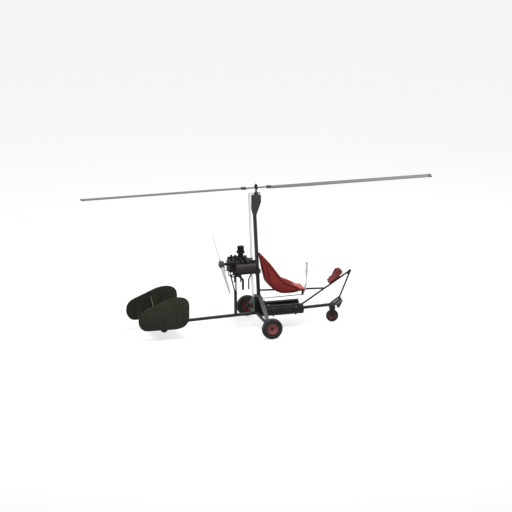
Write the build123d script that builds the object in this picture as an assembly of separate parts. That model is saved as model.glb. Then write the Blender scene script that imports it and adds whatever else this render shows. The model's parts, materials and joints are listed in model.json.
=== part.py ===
# Single-seat open-frame gyrocopter. Millimetres, X forward, Y to port, Z up.
# The origin is on the ground, straight below the rotor hub.
import os
from math import atan, cos, radians, tan

from build123d import *

# Keel and mast, square and flat tube in the centre plane
KEEL_WIDTH = 50
KEEL_REAR = -2400
KEEL_FRONT = 1665
KEEL_HEIGHT = 299.5  # centre line, below the rotor hub
KEEL_PITCH = 1.64  # nose up, degrees
MAST_DEPTH = 62
MAST_FOOT = 67  # mast axis where it meets the keel
MAST_LEAN = 2.81  # leans back, degrees
MAST_TOP = 2600
PLATE = 6
TUBE_WALL = 3

# Rotor head and rotor, its heights one above the other from the mast's top
PITCH_PIVOT_HEIGHT = MAST_TOP + 40
ROLL_PIVOT_HEIGHT = PITCH_PIVOT_HEIGHT + 44
CHEEK_FRONT = 92
CHEEK_REAR = -90
CHEEK_TOP = ROLL_PIVOT_HEIGHT - 11
BAR_BOTTOM = ROLL_PIVOT_HEIGHT + 18  # underside of the torque bar
BAR_THICKNESS = 12
BAR_FRONT = 80
BAR_REAR = -125
BAR_HALF_WIDTH = 28
BEARING_RADIUS = 28
BEARING_HEIGHT = 24
SHAFT_RADIUS = 10
TOWER_RADIUS = 17
HUB_ABOVE_BEARING = 84
ROTOR_HEIGHT = BAR_BOTTOM + BAR_THICKNESS + BEARING_HEIGHT + HUB_ABOVE_BEARING
ROTOR_RADIUS = 3500
ROTOR_YAW = -1.69
TEETER_RISE = 18  # teeter bolt above the blades
BLADE_CHORD = 175
BLADE_ROOT_CHORD = 120
BLADE_ROOT = 245
BLADE_FULL_CHORD_AT = 1000
BLADE_THICKNESS = 20
BLADE_PITCH = 3.9
HUB_BAR_HALF_LENGTH = 340
HUB_BAR_WIDTH = 50
HUB_BAR_THICKNESS = 14

# Wheels
MAIN_TYRE_RADIUS = 205
MAIN_TYRE_WIDTH = 100
MAIN_RIM_RADIUS = 101.6
MAIN_TRACK_HALF = 858
MAIN_AXLE_X = 72
NOSE_TYRE_RADIUS = 120
NOSE_TYRE_WIDTH = 70
NOSE_RIM_RADIUS = 62
NOSE_AXLE_X = 1537
TAIL_WHEEL_RADIUS = 75
TAIL_AXLE_X = -1855
TAIL_AXLE_HEIGHT = 128
AXLE_RADIUS = 10
RUNNING_GAP = 0.05  # radial, axle in hub
CLEAR = 6  # between a moving piece and a fixed one

# Engine and propeller
PROPELLER_X = -703
PROPELLER_HEIGHT = 1329  # the shaft, which sets the engine's heights
PROPELLER_RADIUS = 732
PROPELLER_PARKED = 55  # upper blade from upright towards port, degrees
ENGINE_REAR = -567
ENGINE_FRONT = -135
ENGINE_BOTTOM = PROPELLER_HEIGHT - 154
CASE_TOP = PROPELLER_HEIGHT + 71
ENGINE_TOP = CASE_TOP + 12  # ridge along the case
CASE_HALF_WIDTH = 110
CASE_WALL = 22
BARREL_LENGTH = 100
HEAD_LENGTH = 85
HEAD_SLOTS = 4
COVER_DEPTH = 40
HEAD_REAR = -495
HEAD_FRONT = -101
HEAD_BOTTOM = PROPELLER_HEIGHT - 112
HEAD_TOP = HEAD_BOTTOM + 166

# Tail
FIN_SPACING_HALF = 420
FIN_THICKNESS = 18
RUDDER_HINGE = -2120
STABILISER_FRONT = -1530
STABILISER_REAR = -2085
STABILISER_THICKNESS = 18

# Seat, tanks, controls
SEAT_TUBE_RADIUS = 17.5
SEAT_WALL = 8
TANK_RADIUS = 100
TANK_REAR = 55
TANK_FRONT = 890
TANK_OFFSET = 160
TANK_HEIGHT = 365
ROD_OFFSET = 40
ROD_RADIUS = 7

HALF_KEEL = KEEL_WIDTH / 2
KEEL_SLOPE = tan(radians(KEEL_PITCH))
MAST_SLOPE = tan(radians(MAST_LEAN))
SIDES = {"left": 1, "right": -1}
BEYOND = 1.5 * ROTOR_RADIUS  # past everything, for cutting

os.makedirs("parts", exist_ok=True)
written = {}


def keel_at(x):
    """Height of the keel's centre line."""
    return KEEL_HEIGHT + KEEL_SLOPE * x


def keel_top(x):
    return keel_at(x) + HALF_KEEL


def keel_bottom(x):
    return keel_at(x) - HALF_KEEL


def mast_at(z):
    """X of the mast's axis."""
    return MAST_FOOT - MAST_SLOPE * (z - keel_top(MAST_FOOT))


def mast_front(z):
    return mast_at(z) + MAST_DEPTH / 2


def mast_rear(z):
    return mast_at(z) - MAST_DEPTH / 2


def save(name, *pieces):
    """Write one node from one or more solids and keep it for its neighbours."""
    solids = []
    for piece in pieces:
        solids.extend(piece.solids())
    node = Compound(children=solids) if len(solids) > 1 else solids[0]
    written[name] = node
    export_step(node, f"parts/{name}.step")
    return node


def box(x0, x1, y0, y1, z0, z1):
    middle = ((x0 + x1) / 2, (y0 + y1) / 2, (z0 + z1) / 2)
    return Pos(*middle) * Box(abs(x1 - x0), abs(y1 - y0), abs(z1 - z0))


def side_plate(points, y0, y1):
    """A plate cut to a side-view outline of (x, z) points, between two widths."""
    outline = Plane.XZ.offset(-y0) * make_face(Polyline(*points, close=True))
    return extrude(outline, amount=-(y1 - y0))


def cross_plate(points, x0, x1):
    """A plate cut to a front-view outline of (y, z) points."""
    outline = Plane.YZ.offset(x0) * make_face(Polyline(*points, close=True))
    return extrude(outline, amount=x1 - x0)


def bar(start, end, across, width, depth):
    """A rectangular bar, its width along the across direction."""
    start, end = Vector(*start), Vector(*end)
    length = (end - start).length
    return extrude(Plane(start, x_dir=across, z_dir=end - start) * Rectangle(width, depth), amount=length)


def rod(start, end, radius):
    start, end = Vector(start), Vector(end)
    return extrude(Plane(start, z_dir=end - start) * Circle(radius), amount=(end - start).length)


def cross_rod(x, z, half_length, radius):
    """A pin across the craft, through both sides of the centre plane."""
    return rod((x, -half_length, z), (x, half_length, z), radius)


def span(side, near, far):
    """Two widths from the centre plane, in order, on the given side."""
    return sorted((side * near, side * far))


def turned(profile, centre):
    """A wheel piece: (radius, y) points turned about a cross axis at the centre (x, y, z)."""
    outline = make_face(Polyline(*profile, close=True))
    return Pos(*centre) * revolve(outline, Axis.Y)


def biggest(piece):
    return max(piece.solids(), key=lambda solid: solid.volume)


def keel_bar(half):
    """The keel's outside, or its hollow where half is the hollow's."""
    ends = [(x, keel_at(x) + rise) for x, rise in (
        (KEEL_REAR, half), (KEEL_REAR, -half), (KEEL_FRONT, -half), (KEEL_FRONT, half))]
    return side_plate(ends, -half, half)


def mast_bar(inset):
    foot = keel_top(0) - 10
    outline = [(mast_rear(foot) + inset, foot), (mast_front(foot) - inset, foot),
               (mast_front(MAST_TOP) - inset, MAST_TOP), (mast_rear(MAST_TOP) + inset, MAST_TOP)]
    return side_plate(outline, -HALF_KEEL + inset, HALF_KEEL - inset)


keel_outside = keel_bar(HALF_KEEL)
keel_hollow = keel_bar(HALF_KEEL - TUBE_WALL)
mast_outside = mast_bar(0) - keel_outside
save("mast_tube", mast_outside - mast_bar(TUBE_WALL))

# Mast foot: a plate on each side of mast and keel, closed behind by a folded box
FOOT_TOP = 585
FOOT_BOTTOM = 262
FOOT_REAR = -40
FOOT_FRONT = 92
foot = box(FOOT_REAR, 0, -HALF_KEEL - PLATE, HALF_KEEL + PLATE, keel_top(FOOT_REAR) - PLATE, FOOT_TOP)
foot -= box(FOOT_REAR + PLATE, 0, -HALF_KEEL, HALF_KEEL, FOOT_BOTTOM, FOOT_TOP)
for side in SIDES.values():
    foot += box(0, FOOT_FRONT, *span(side, HALF_KEEL, HALF_KEEL + PLATE), FOOT_BOTTOM, FOOT_TOP)
save("mast_foot_web", foot - keel_outside - mast_outside)

# Cheek plates each side of the mast head, with the pitch bolt through them
CHEEK_OUTLINE = [(-62, MAST_TOP - 320), (CHEEK_REAR, MAST_TOP - 210), (CHEEK_REAR, CHEEK_TOP),
                 (CHEEK_FRONT, CHEEK_TOP), (CHEEK_FRONT, MAST_TOP - 70), (2, MAST_TOP - 320)]
BOLT_RADIUS = 6
BOLT_END = 8  # how far a bolt stands out of its plate
cheeks = [side_plate(CHEEK_OUTLINE, *span(side, HALF_KEEL, HALF_KEEL + PLATE)) for side in SIDES.values()]
pitch_bolt = cross_rod(0, PITCH_PIVOT_HEIGHT, HALF_KEEL + PLATE + BOLT_END, BOLT_RADIUS)
save("mast_head_cheeks", cheeks[0] + cheeks[1] + pitch_bolt)

# Gimbal block: pitches on the cross bolt, carries the roll bolt
BLOCK_HALF = 19
ROLL_BOLT_REACH = 40
block = box(-BLOCK_HALF, BLOCK_HALF, -BLOCK_HALF, BLOCK_HALF, PITCH_PIVOT_HEIGHT - 16, ROLL_PIVOT_HEIGHT + 11)
block -= cross_rod(0, PITCH_PIVOT_HEIGHT, 2 * BLOCK_HALF, BOLT_RADIUS + RUNNING_GAP)
roll_bolt = rod((-ROLL_BOLT_REACH, 0, ROLL_PIVOT_HEIGHT), (ROLL_BOLT_REACH, 0, ROLL_PIVOT_HEIGHT),
                BOLT_RADIUS)
save("gimbal_block", block + roll_bolt)

# Torque bar: rolls on the gimbal block, carries the bearing, and reaches back to the push rods
LUG_INNER = BLOCK_HALF + CLEAR
BAR_TOP = BAR_BOTTOM + BAR_THICKNESS
torque_bar = box(BAR_REAR, BAR_FRONT, -BAR_HALF_WIDTH, BAR_HALF_WIDTH, BAR_BOTTOM, BAR_TOP)
for end in (-1, 1):
    torque_bar += box(*span(end, LUG_INNER, LUG_INNER + 8), -14, 14, ROLL_PIVOT_HEIGHT - 12, BAR_BOTTOM)
torque_bar -= rod((-60, 0, ROLL_PIVOT_HEIGHT), (60, 0, ROLL_PIVOT_HEIGHT), BOLT_RADIUS + RUNNING_GAP)
YOKE_PIN_HEIGHT = BAR_BOTTOM + BAR_THICKNESS / 2
YOKE_PIN_RADIUS = 4
YOKE_X = BAR_REAR - CLEAR - 9
torque_bar += rod((BAR_REAR, 0, YOKE_PIN_HEIGHT), (YOKE_X - 14, 0, YOKE_PIN_HEIGHT), YOKE_PIN_RADIUS)
bearing_top = BAR_TOP + BEARING_HEIGHT
SHAFT_FOOT = BAR_BOTTOM + 4
torque_bar += rod((0, 0, BAR_TOP), (0, 0, bearing_top), BEARING_RADIUS)
torque_bar -= rod((0, 0, SHAFT_FOOT), (0, 0, bearing_top + 1), SHAFT_RADIUS + RUNNING_GAP)
save("torque_bar", torque_bar)

# Push-rod yoke and the two push rods down the back of the mast
ROD_PIN_HEIGHT = YOKE_PIN_HEIGHT - 26
yoke = box(YOKE_X - 9, YOKE_X + 9, -10, 10, ROD_PIN_HEIGHT - 9, YOKE_PIN_HEIGHT + 9)
pin_bore = YOKE_PIN_RADIUS + RUNNING_GAP
yoke -= rod((YOKE_X - 20, 0, YOKE_PIN_HEIGHT), (YOKE_X + 20, 0, YOKE_PIN_HEIGHT), pin_bore)
yoke -= cross_rod(YOKE_X, ROD_PIN_HEIGHT, 20, pin_bore)
save("rod_yoke", yoke)
ROD_FOOT_X = -62
ROD_FOOT_HEIGHT = 600
rods = cross_rod(YOKE_X, ROD_PIN_HEIGHT, ROD_OFFSET + ROD_RADIUS, YOKE_PIN_RADIUS)
for side in SIDES.values():
    y = side * ROD_OFFSET
    rods += rod((YOKE_X, y, ROD_PIN_HEIGHT), (ROD_FOOT_X, y, ROD_FOOT_HEIGHT), ROD_RADIUS)
save("push_rods", rods)

# Line of the seat tube, which the stick hangs from
SEAT_TUBE_REAR_HEIGHT = 750
SEAT_TUBE_REAR = 40
SEAT_TUBE_FRONT = (1392, 682)
SEAT_TUBE_FALL = (SEAT_TUBE_REAR_HEIGHT - SEAT_TUBE_FRONT[1]) / (SEAT_TUBE_FRONT[0] - SEAT_TUBE_REAR)


def seat_tube_top(x):
    return SEAT_TUBE_REAR_HEIGHT - SEAT_TUBE_FALL * (x - SEAT_TUBE_REAR) + SEAT_TUBE_RADIUS


# Control mixer: a yoke round the mast, joined to the stick by a tube under the seat
MIXER_HEIGHT = 580
MIXER_INNER = ROD_OFFSET + ROD_RADIUS + 10
MIXER_OUTER = MIXER_INNER + PLATE
mixer_front = mast_front(MIXER_HEIGHT) + 22
mixer_back = mixer_front - 12
mixer = box(mixer_back, mixer_front, -MIXER_OUTER, MIXER_OUTER, MIXER_HEIGHT - 15, MIXER_HEIGHT + 15)
ARM_OUTLINE = [(ROD_FOOT_X - 12, ROD_FOOT_HEIGHT - 12), (ROD_FOOT_X - 12, ROD_FOOT_HEIGHT + 8),
               (mixer_back, MIXER_HEIGHT + 15), (mixer_back, MIXER_HEIGHT - 15)]
for side in SIDES.values():
    mixer += side_plate(ARM_OUTLINE, *span(side, MIXER_INNER, MIXER_OUTER))
STICK_PIVOT_X = 940
STICK_PIVOT_HEIGHT = seat_tube_top(STICK_PIVOT_X) - 130
LINK_RADIUS = 9
link = rod((mixer_front, 0, MIXER_HEIGHT), (STICK_PIVOT_X - 20, 0, STICK_PIVOT_HEIGHT), LINK_RADIUS)
mount = box(mixer_back - 20, mixer_back, -16, 16, MIXER_HEIGHT - 12, MIXER_HEIGHT + 12) - mast_outside
save("control_mixer", mixer + link + mount)

# Nose: diagonal, front tube and gusset plates
APEX = (1900, 0, 1000)
DIAGONAL_RADIUS = 17.5
DIAGONAL_FOOT = (939, 407)
DIAGONAL_SLOPE = (APEX[2] - DIAGONAL_FOOT[1]) / (APEX[0] - DIAGONAL_FOOT[0])


def diagonal_at(x):
    return DIAGONAL_FOOT[1] + DIAGONAL_SLOPE * (x - DIAGONAL_FOOT[0])


below_keel = DIAGONAL_FOOT[0] - 140
diagonal = rod((below_keel, 0, diagonal_at(below_keel)), APEX, DIAGONAL_RADIUS) - keel_outside
diagonal = diagonal.solids().sort_by(Axis.Z)[-1]
save("nose_diagonal", diagonal)
FRONT_TUBE_RADIUS = 16
front_tube = rod((KEEL_FRONT, 0, 430), (APEX[0], 0, APEX[2] - 15), FRONT_TUBE_RADIUS)
front_tube = (front_tube - written["nose_diagonal"]).solids().sort_by(Axis.Z)[0]
save("front_tube", front_tube)
GUSSET_THICKNESS = 4
GUSSET_OUTLINE = [(1480, 352), (1515, 385), (1690, 500), (1747, 401), (1676, 270), (1640, 270), (1628, 330),
                  (1480, 326)]
gussets = [side_plate(GUSSET_OUTLINE, *span(side, HALF_KEEL, HALF_KEEL + GUSSET_THICKNESS))
           for side in SIDES.values()]
SOCKET = ((1648, 405), (1694, 455))  # rear bottom, front top
socket_rear, socket_front = SOCKET
socket = box(socket_rear[0], socket_front[0], -HALF_KEEL, HALF_KEEL, socket_rear[1], socket_front[1])
socket -= written["front_tube"]
TOW_HOLE = (1708, 385)
TOW_HOLE_RADIUS = 8
tow_hole = cross_rod(*TOW_HOLE, 2 * HALF_KEEL, TOW_HOLE_RADIUS)
save("nose_gussets", biggest(gussets[0] + gussets[1] + socket - tow_hole))

# Seat tube from mast to diagonal
seat_tube = rod((SEAT_TUBE_REAR, 0, SEAT_TUBE_REAR_HEIGHT), (SEAT_TUBE_FRONT[0], 0, SEAT_TUBE_FRONT[1]),
                SEAT_TUBE_RADIUS)
save("seat_tube", biggest(seat_tube - mast_outside - written["nose_diagonal"]))


# Seat tub: side outline and front outline crossed, then hollowed
SEAT_BACK = [(36, 1507), (91, 1189), (130, 1055), (181, 918), (262, 831), (343, 784), (424, 727), (504, 690)]
SEAT_PAN = [(686, 685), (828, 714), (955, 738)]
SEAT_EDGE = [(828, 774), (525, 930), (447, 1035), (246, 1315), (69, 1507)]
SEAT_HALF_WIDTHS = [(1507, 30), (1300, 95), (1100, 150), (900, 198), (680, 205)]  # height, half width
SEAT_HALF = 205
BACK_THICKNESS = 12
PAN_FRONT_RISE = 26  # inside of the pan above the seat tube, at its front
SEAT_MOUTH = [(1100, 900), (500, 1500)]  # open side of the hollow
UNDER_REAR = [(200, 600), (200, 810), (343, 772)]  # space under the pan
SEAT_LIMIT = 1.1 * SEAT_EDGE[0][0] + 200


def both_sides(half_widths):
    return [(w, z) for z, w in half_widths] + [(-w, z) for z, w in reversed(half_widths)]


def seat_back_x(z):
    for (upper_x, upper_z), (lower_x, lower_z) in zip(SEAT_BACK, SEAT_BACK[1:]):
        if z >= lower_z:
            return upper_x + (lower_x - upper_x) * (upper_z - z) / (upper_z - lower_z)
    return SEAT_BACK[-1][0]


outer_side = side_plate(SEAT_BACK + SEAT_PAN + SEAT_EDGE, -SEAT_HALF, SEAT_HALF)
outer_front = cross_plate(both_sides(SEAT_HALF_WIDTHS), 0, SEAT_LIMIT)
pan_rear, pan_front = SEAT_BACK[-1][0] - 24, SEAT_PAN[-1][0]
inner_back = [(x + BACK_THICKNESS, z) for x, z in SEAT_BACK[:4]]
inner_back[0] = (SEAT_BACK[0][0] + 2 * BACK_THICKNESS, SEAT_BACK[0][1] + 53)
inner_side = side_plate(inner_back + [(SEAT_BACK[4][0] + SEAT_WALL, SEAT_BACK[4][1] + 11),
                                      (SEAT_BACK[5][0], SEAT_BACK[5][1] + 16),
                                      (pan_rear, seat_tube_top(pan_rear) + SEAT_WALL),
                                      (pan_front, seat_tube_top(pan_front) + PAN_FRONT_RISE),
                                      *SEAT_MOUTH], -SEAT_HALF, SEAT_HALF)
inner_widths = [(inner_back[0][1], 22)] + [(z, w - SEAT_WALL) for z, w in SEAT_HALF_WIDTHS]
inner_front = cross_plate(both_sides(inner_widths), 0, SEAT_LIMIT)
under_front = pan_front + 35
under_side = side_plate(UNDER_REAR + [(pan_rear, seat_tube_top(pan_rear)),
                                      (under_front, seat_tube_top(under_front)),
                                      (under_front, UNDER_REAR[0][1])],
                        SEAT_WALL - SEAT_HALF, SEAT_HALF - SEAT_WALL)
seat = (outer_side & outer_front) - (inner_side & inner_front) - under_side
save("seat_tub", biggest(seat - written["seat_tube"] - mast_outside))

# Tanks on two saddles
SADDLE_SHARES = (0.28, 0.82)  # along the tanks
SADDLE_HALF = 10
SADDLE_OUTER = TANK_OFFSET + 60
tanks = []
for side in SIDES.values():
    y = side * TANK_OFFSET
    tank = rod((TANK_REAR, y, TANK_HEIGHT), (TANK_FRONT, y, TANK_HEIGHT), TANK_RADIUS)
    tanks.append(chamfer(tank.edges().filter_by(GeomType.CIRCLE), 12))
save("fuel_tanks", *tanks)
saddles = []
for share in SADDLE_SHARES:
    x = TANK_REAR + share * (TANK_FRONT - TANK_REAR)
    plate = box(x - SADDLE_HALF, x + SADDLE_HALF, -SADDLE_OUTER, SADDLE_OUTER, TANK_HEIGHT - TANK_RADIUS - 6,
                keel_bottom(x) + 30)
    saddles.append(plate - keel_outside - tanks[0] - tanks[1])
save("tank_saddles", *saddles)

# Main gear: axle blocks, a flat leaf bent down to both from the mast, and a swept leg from the keel to each
BLOCK_INNER = 762
BLOCK_OUTER = 800
HUB_INNER_END = 46
HUB_OUTER_END = 6
AXLE_CAP_RADIUS = 17
CAP_PLACE = MAIN_TRACK_HALF + HUB_OUTER_END + 2
AXLE_REACH = (BLOCK_OUTER, CAP_PLACE, CAP_PLACE + 8)
axles = []
for side in SIDES.values():
    axle = box(MAIN_AXLE_X - 30, MAIN_AXLE_X + 30, *span(side, BLOCK_INNER, BLOCK_OUTER),
               MAIN_TYRE_RADIUS - 30, MAIN_TYRE_RADIUS + 45)
    block_face, cap, end = (Vector(MAIN_AXLE_X, side * reach, MAIN_TYRE_RADIUS) for reach in AXLE_REACH)
    axles.append(axle + rod(block_face, cap, AXLE_RADIUS) + rod(cap, end, AXLE_CAP_RADIUS))
save("main_axles", *axles)
LEAF_REAR = 12
LEAF_WIDTH = 76
LEAF_RISE = 11  # half the leaf, measured straight up
LEAF_LINE = [(0, 656), (150, 630), (BLOCK_INNER + 10, MAIN_TYRE_RADIUS - 15)]  # y, z
LEAF_BEND = 110


def leaf_edge(rise):
    half = [(y, z + rise) for y, z in LEAF_LINE]
    return FilletPolyline(*[(-y, z) for y, z in reversed(half[1:])], *half, radius=LEAF_BEND)


leaf_top, leaf_bottom = leaf_edge(LEAF_RISE), leaf_edge(-LEAF_RISE)
leaf_ends = [Line(leaf_top @ end, leaf_bottom @ end) for end in (0, 1)]
leaf = Plane.YZ.offset(LEAF_REAR) * make_face([*leaf_top.edges(), *leaf_bottom.edges(), *leaf_ends])
leaf = extrude(leaf, amount=LEAF_WIDTH) - mast_outside - axles[0] - axles[1]
save("gear_braces", biggest(leaf))
LEG_FOOT_X = 8
LEG_WIDTH = 45
LEG_DEPTH = 40
legs = []
for side in SIDES.values():
    leg = bar((LEG_FOOT_X, side * (HALF_KEEL - 12), keel_at(LEG_FOOT_X) - 2),
              (MAIN_AXLE_X - 4, side * (BLOCK_INNER + 8), MAIN_TYRE_RADIUS), (1, 0, 0), LEG_WIDTH, LEG_DEPTH)
    for neighbour in ("mast_foot_web", "main_axles", "gear_braces"):
        leg -= written[neighbour]
    legs.append(biggest(leg - keel_outside))
save("gear_legs", *legs)

# Wheels: tyre on rim, turning on the stub axle
TYRE_SHAPE = [(0, 0.78), (0.36, 1.0), (0.74, 0.85), (0.94, 0.47), (1.0, 0.14)]  # rise share, width share
BEAD_SHARE = TYRE_SHAPE[0][1]


def tyre(radius, width, rim_radius, centre):
    half = [(rim_radius + rise * (radius - rim_radius), share * width / 2) for rise, share in TYRE_SHAPE]
    return turned(half + [(r, -y) for r, y in reversed(half)], centre)


def rim(radius, half_width, hub_radius, hub_ends, bore, outward, centre):
    """Rim barrel with a bowl-shaped web that opens outwards, on a hub bored for its axle."""
    inside = 0.91 * radius
    web = 6
    floor, mouth = 0.05 * half_width, 0.7 * half_width
    inner_end, outer_end = hub_ends
    profile = [(bore, -inner_end), (hub_radius, -inner_end), (hub_radius, floor - web), (inside, mouth - web),
               (inside, -half_width), (radius, -half_width), (radius, half_width), (inside, half_width),
               (inside, mouth), (hub_radius, floor), (hub_radius, outer_end), (bore, outer_end)]
    return turned([(r, outward * y) for r, y in profile], centre)


AXLE_BORE = AXLE_RADIUS + RUNNING_GAP
for name, side in SIDES.items():
    centre = (MAIN_AXLE_X, side * MAIN_TRACK_HALF, MAIN_TYRE_RADIUS)
    save(f"main_tyre_{name}", tyre(MAIN_TYRE_RADIUS, MAIN_TYRE_WIDTH, MAIN_RIM_RADIUS, centre))
    wheel_rim = rim(MAIN_RIM_RADIUS, BEAD_SHARE * MAIN_TYRE_WIDTH / 2, 24, (HUB_INNER_END, HUB_OUTER_END),
                    AXLE_BORE, side, centre)
    save(f"main_rim_{name}", wheel_rim)

# Steered nose wheel: fork on a kingpin through the keel
CROWN_TOP = keel_bottom(NOSE_AXLE_X) - CLEAR
CROWN_BOTTOM = 2 * NOSE_TYRE_RADIUS + 14
CROWN_HALF = 52
FORK_TOP_HALF = 46
FORK_FOOT = 28
FORK_PLATE = 9
FORK_INNER = NOSE_TYRE_WIDTH / 2 + 7
FORK_OUTER = FORK_INNER + FORK_PLATE
KINGPIN_RADIUS = 10
KINGPIN_TOP = keel_top(NOSE_AXLE_X) + 22
nose_centre = (NOSE_AXLE_X, 0, NOSE_TYRE_RADIUS)
LEG_OUTLINE = [(NOSE_AXLE_X - FORK_TOP_HALF, CROWN_TOP), (NOSE_AXLE_X - FORK_FOOT, NOSE_TYRE_RADIUS),
               (NOSE_AXLE_X + FORK_FOOT, NOSE_TYRE_RADIUS), (NOSE_AXLE_X + FORK_TOP_HALF, CROWN_TOP)]
fork = box(NOSE_AXLE_X - CROWN_HALF, NOSE_AXLE_X + CROWN_HALF, -FORK_OUTER, FORK_OUTER,
           CROWN_BOTTOM, CROWN_TOP)
for side in SIDES.values():
    near, far = span(side, FORK_INNER, FORK_OUTER)
    foot = rod((NOSE_AXLE_X, near, NOSE_TYRE_RADIUS), (NOSE_AXLE_X, far, NOSE_TYRE_RADIUS), FORK_FOOT + 1)
    fork = fork + side_plate(LEG_OUTLINE, near, far) + foot
fork += cross_rod(NOSE_AXLE_X, NOSE_TYRE_RADIUS, FORK_OUTER, AXLE_RADIUS)
fork += rod((NOSE_AXLE_X, 0, CROWN_BOTTOM), (NOSE_AXLE_X, 0, KINGPIN_TOP), KINGPIN_RADIUS)
save("nose_fork", fork)
bore = rod((NOSE_AXLE_X, 0, CROWN_BOTTOM), (NOSE_AXLE_X, 0, KINGPIN_TOP), KINGPIN_RADIUS + RUNNING_GAP)
save("keel_tube", keel_outside - keel_hollow - bore)
save("nose_tyre", tyre(NOSE_TYRE_RADIUS, NOSE_TYRE_WIDTH, NOSE_RIM_RADIUS, nose_centre))
save("nose_rim", rim(NOSE_RIM_RADIUS, BEAD_SHARE * NOSE_TYRE_WIDTH / 2, 20, (FORK_INNER - 1, FORK_INNER - 1),
                     AXLE_BORE, -1, nose_centre))

# Tail wheel between two plates on the keel
TAIL_AXLE_RADIUS = 6
TAIL_PLATE = 4
tail_centre = (TAIL_AXLE_X, 0, TAIL_AXLE_HEIGHT)
PLATE_OUTLINE = [(TAIL_AXLE_X - 60, keel_top(TAIL_AXLE_X) - 4), (TAIL_AXLE_X - 18, TAIL_AXLE_HEIGHT - 14),
                 (TAIL_AXLE_X + 18, TAIL_AXLE_HEIGHT - 14), (TAIL_AXLE_X + 60, keel_top(TAIL_AXLE_X) - 4)]
tail_fork = cross_rod(TAIL_AXLE_X, TAIL_AXLE_HEIGHT, HALF_KEEL + TAIL_PLATE + 4, TAIL_AXLE_RADIUS)
for side in SIDES.values():
    tail_fork += side_plate(PLATE_OUTLINE, *span(side, HALF_KEEL, HALF_KEEL + TAIL_PLATE))
save("tail_fork", tail_fork)
half = [(TAIL_AXLE_RADIUS + RUNNING_GAP, 20), (20, 20), (20, 10), (46, 10), (46, 17), (67, 16),
        (TAIL_WHEEL_RADIUS, 6)]  # radius, half width
save("tail_wheel", turned(half + [(r, -y) for r, y in reversed(half)], tail_centre))

# Engine: crankcase with its propeller drive behind and two mounting arms in front
SUMP_CHAMFER = 28
DRIVE_RADIUS = 28
DRIVE_END = PROPELLER_X + 46 + CLEAR
PROP_SHAFT_RADIUS = 15
STAY_HEIGHT = ENGINE_BOTTOM + 28  # lower stay of the drive's outer end
STAY_HALF = 7
ARM_INNER = 70
ARM_OUTER = 96
ARM_BOTTOM = PROPELLER_HEIGHT - 29
ARM_TOP = PROPELLER_HEIGHT + 61
ARM_FRONT = -44
case = box(ENGINE_REAR, ENGINE_FRONT, -CASE_HALF_WIDTH, CASE_HALF_WIDTH, ENGINE_BOTTOM, CASE_TOP)
case = chamfer(case.edges().filter_by(Axis.X), SUMP_CHAMFER)
case -= box(ENGINE_REAR + CASE_WALL, ENGINE_FRONT - CASE_WALL, CASE_WALL - CASE_HALF_WIDTH,
            CASE_HALF_WIDTH - CASE_WALL, ENGINE_BOTTOM + CASE_WALL, CASE_TOP - CASE_WALL)
case += box(ENGINE_REAR + 60, ENGINE_FRONT - 60, -70, 70, CASE_TOP - 1, ENGINE_TOP)
for side in SIDES.values():
    case += box(ENGINE_FRONT - 1, ARM_FRONT, *span(side, ARM_INNER, ARM_OUTER), ARM_BOTTOM, ARM_TOP)
case += rod((ENGINE_REAR, 0, PROPELLER_HEIGHT), (DRIVE_END, 0, PROPELLER_HEIGHT), DRIVE_RADIUS)
stay_bottom = STAY_HEIGHT - STAY_HALF
case += box(DRIVE_END, ENGINE_REAR, -STAY_HALF, STAY_HALF, stay_bottom, STAY_HEIGHT + STAY_HALF)
case += box(DRIVE_END, DRIVE_END + 12, -2 * STAY_HALF, 2 * STAY_HALF, stay_bottom, PROPELLER_HEIGHT)
case -= rod((DRIVE_END - 1, 0, PROPELLER_HEIGHT), (ENGINE_REAR + CASE_WALL + 1, 0, PROPELLER_HEIGHT),
            PROP_SHAFT_RADIUS + RUNNING_GAP)
save("crankcase", case)

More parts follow.
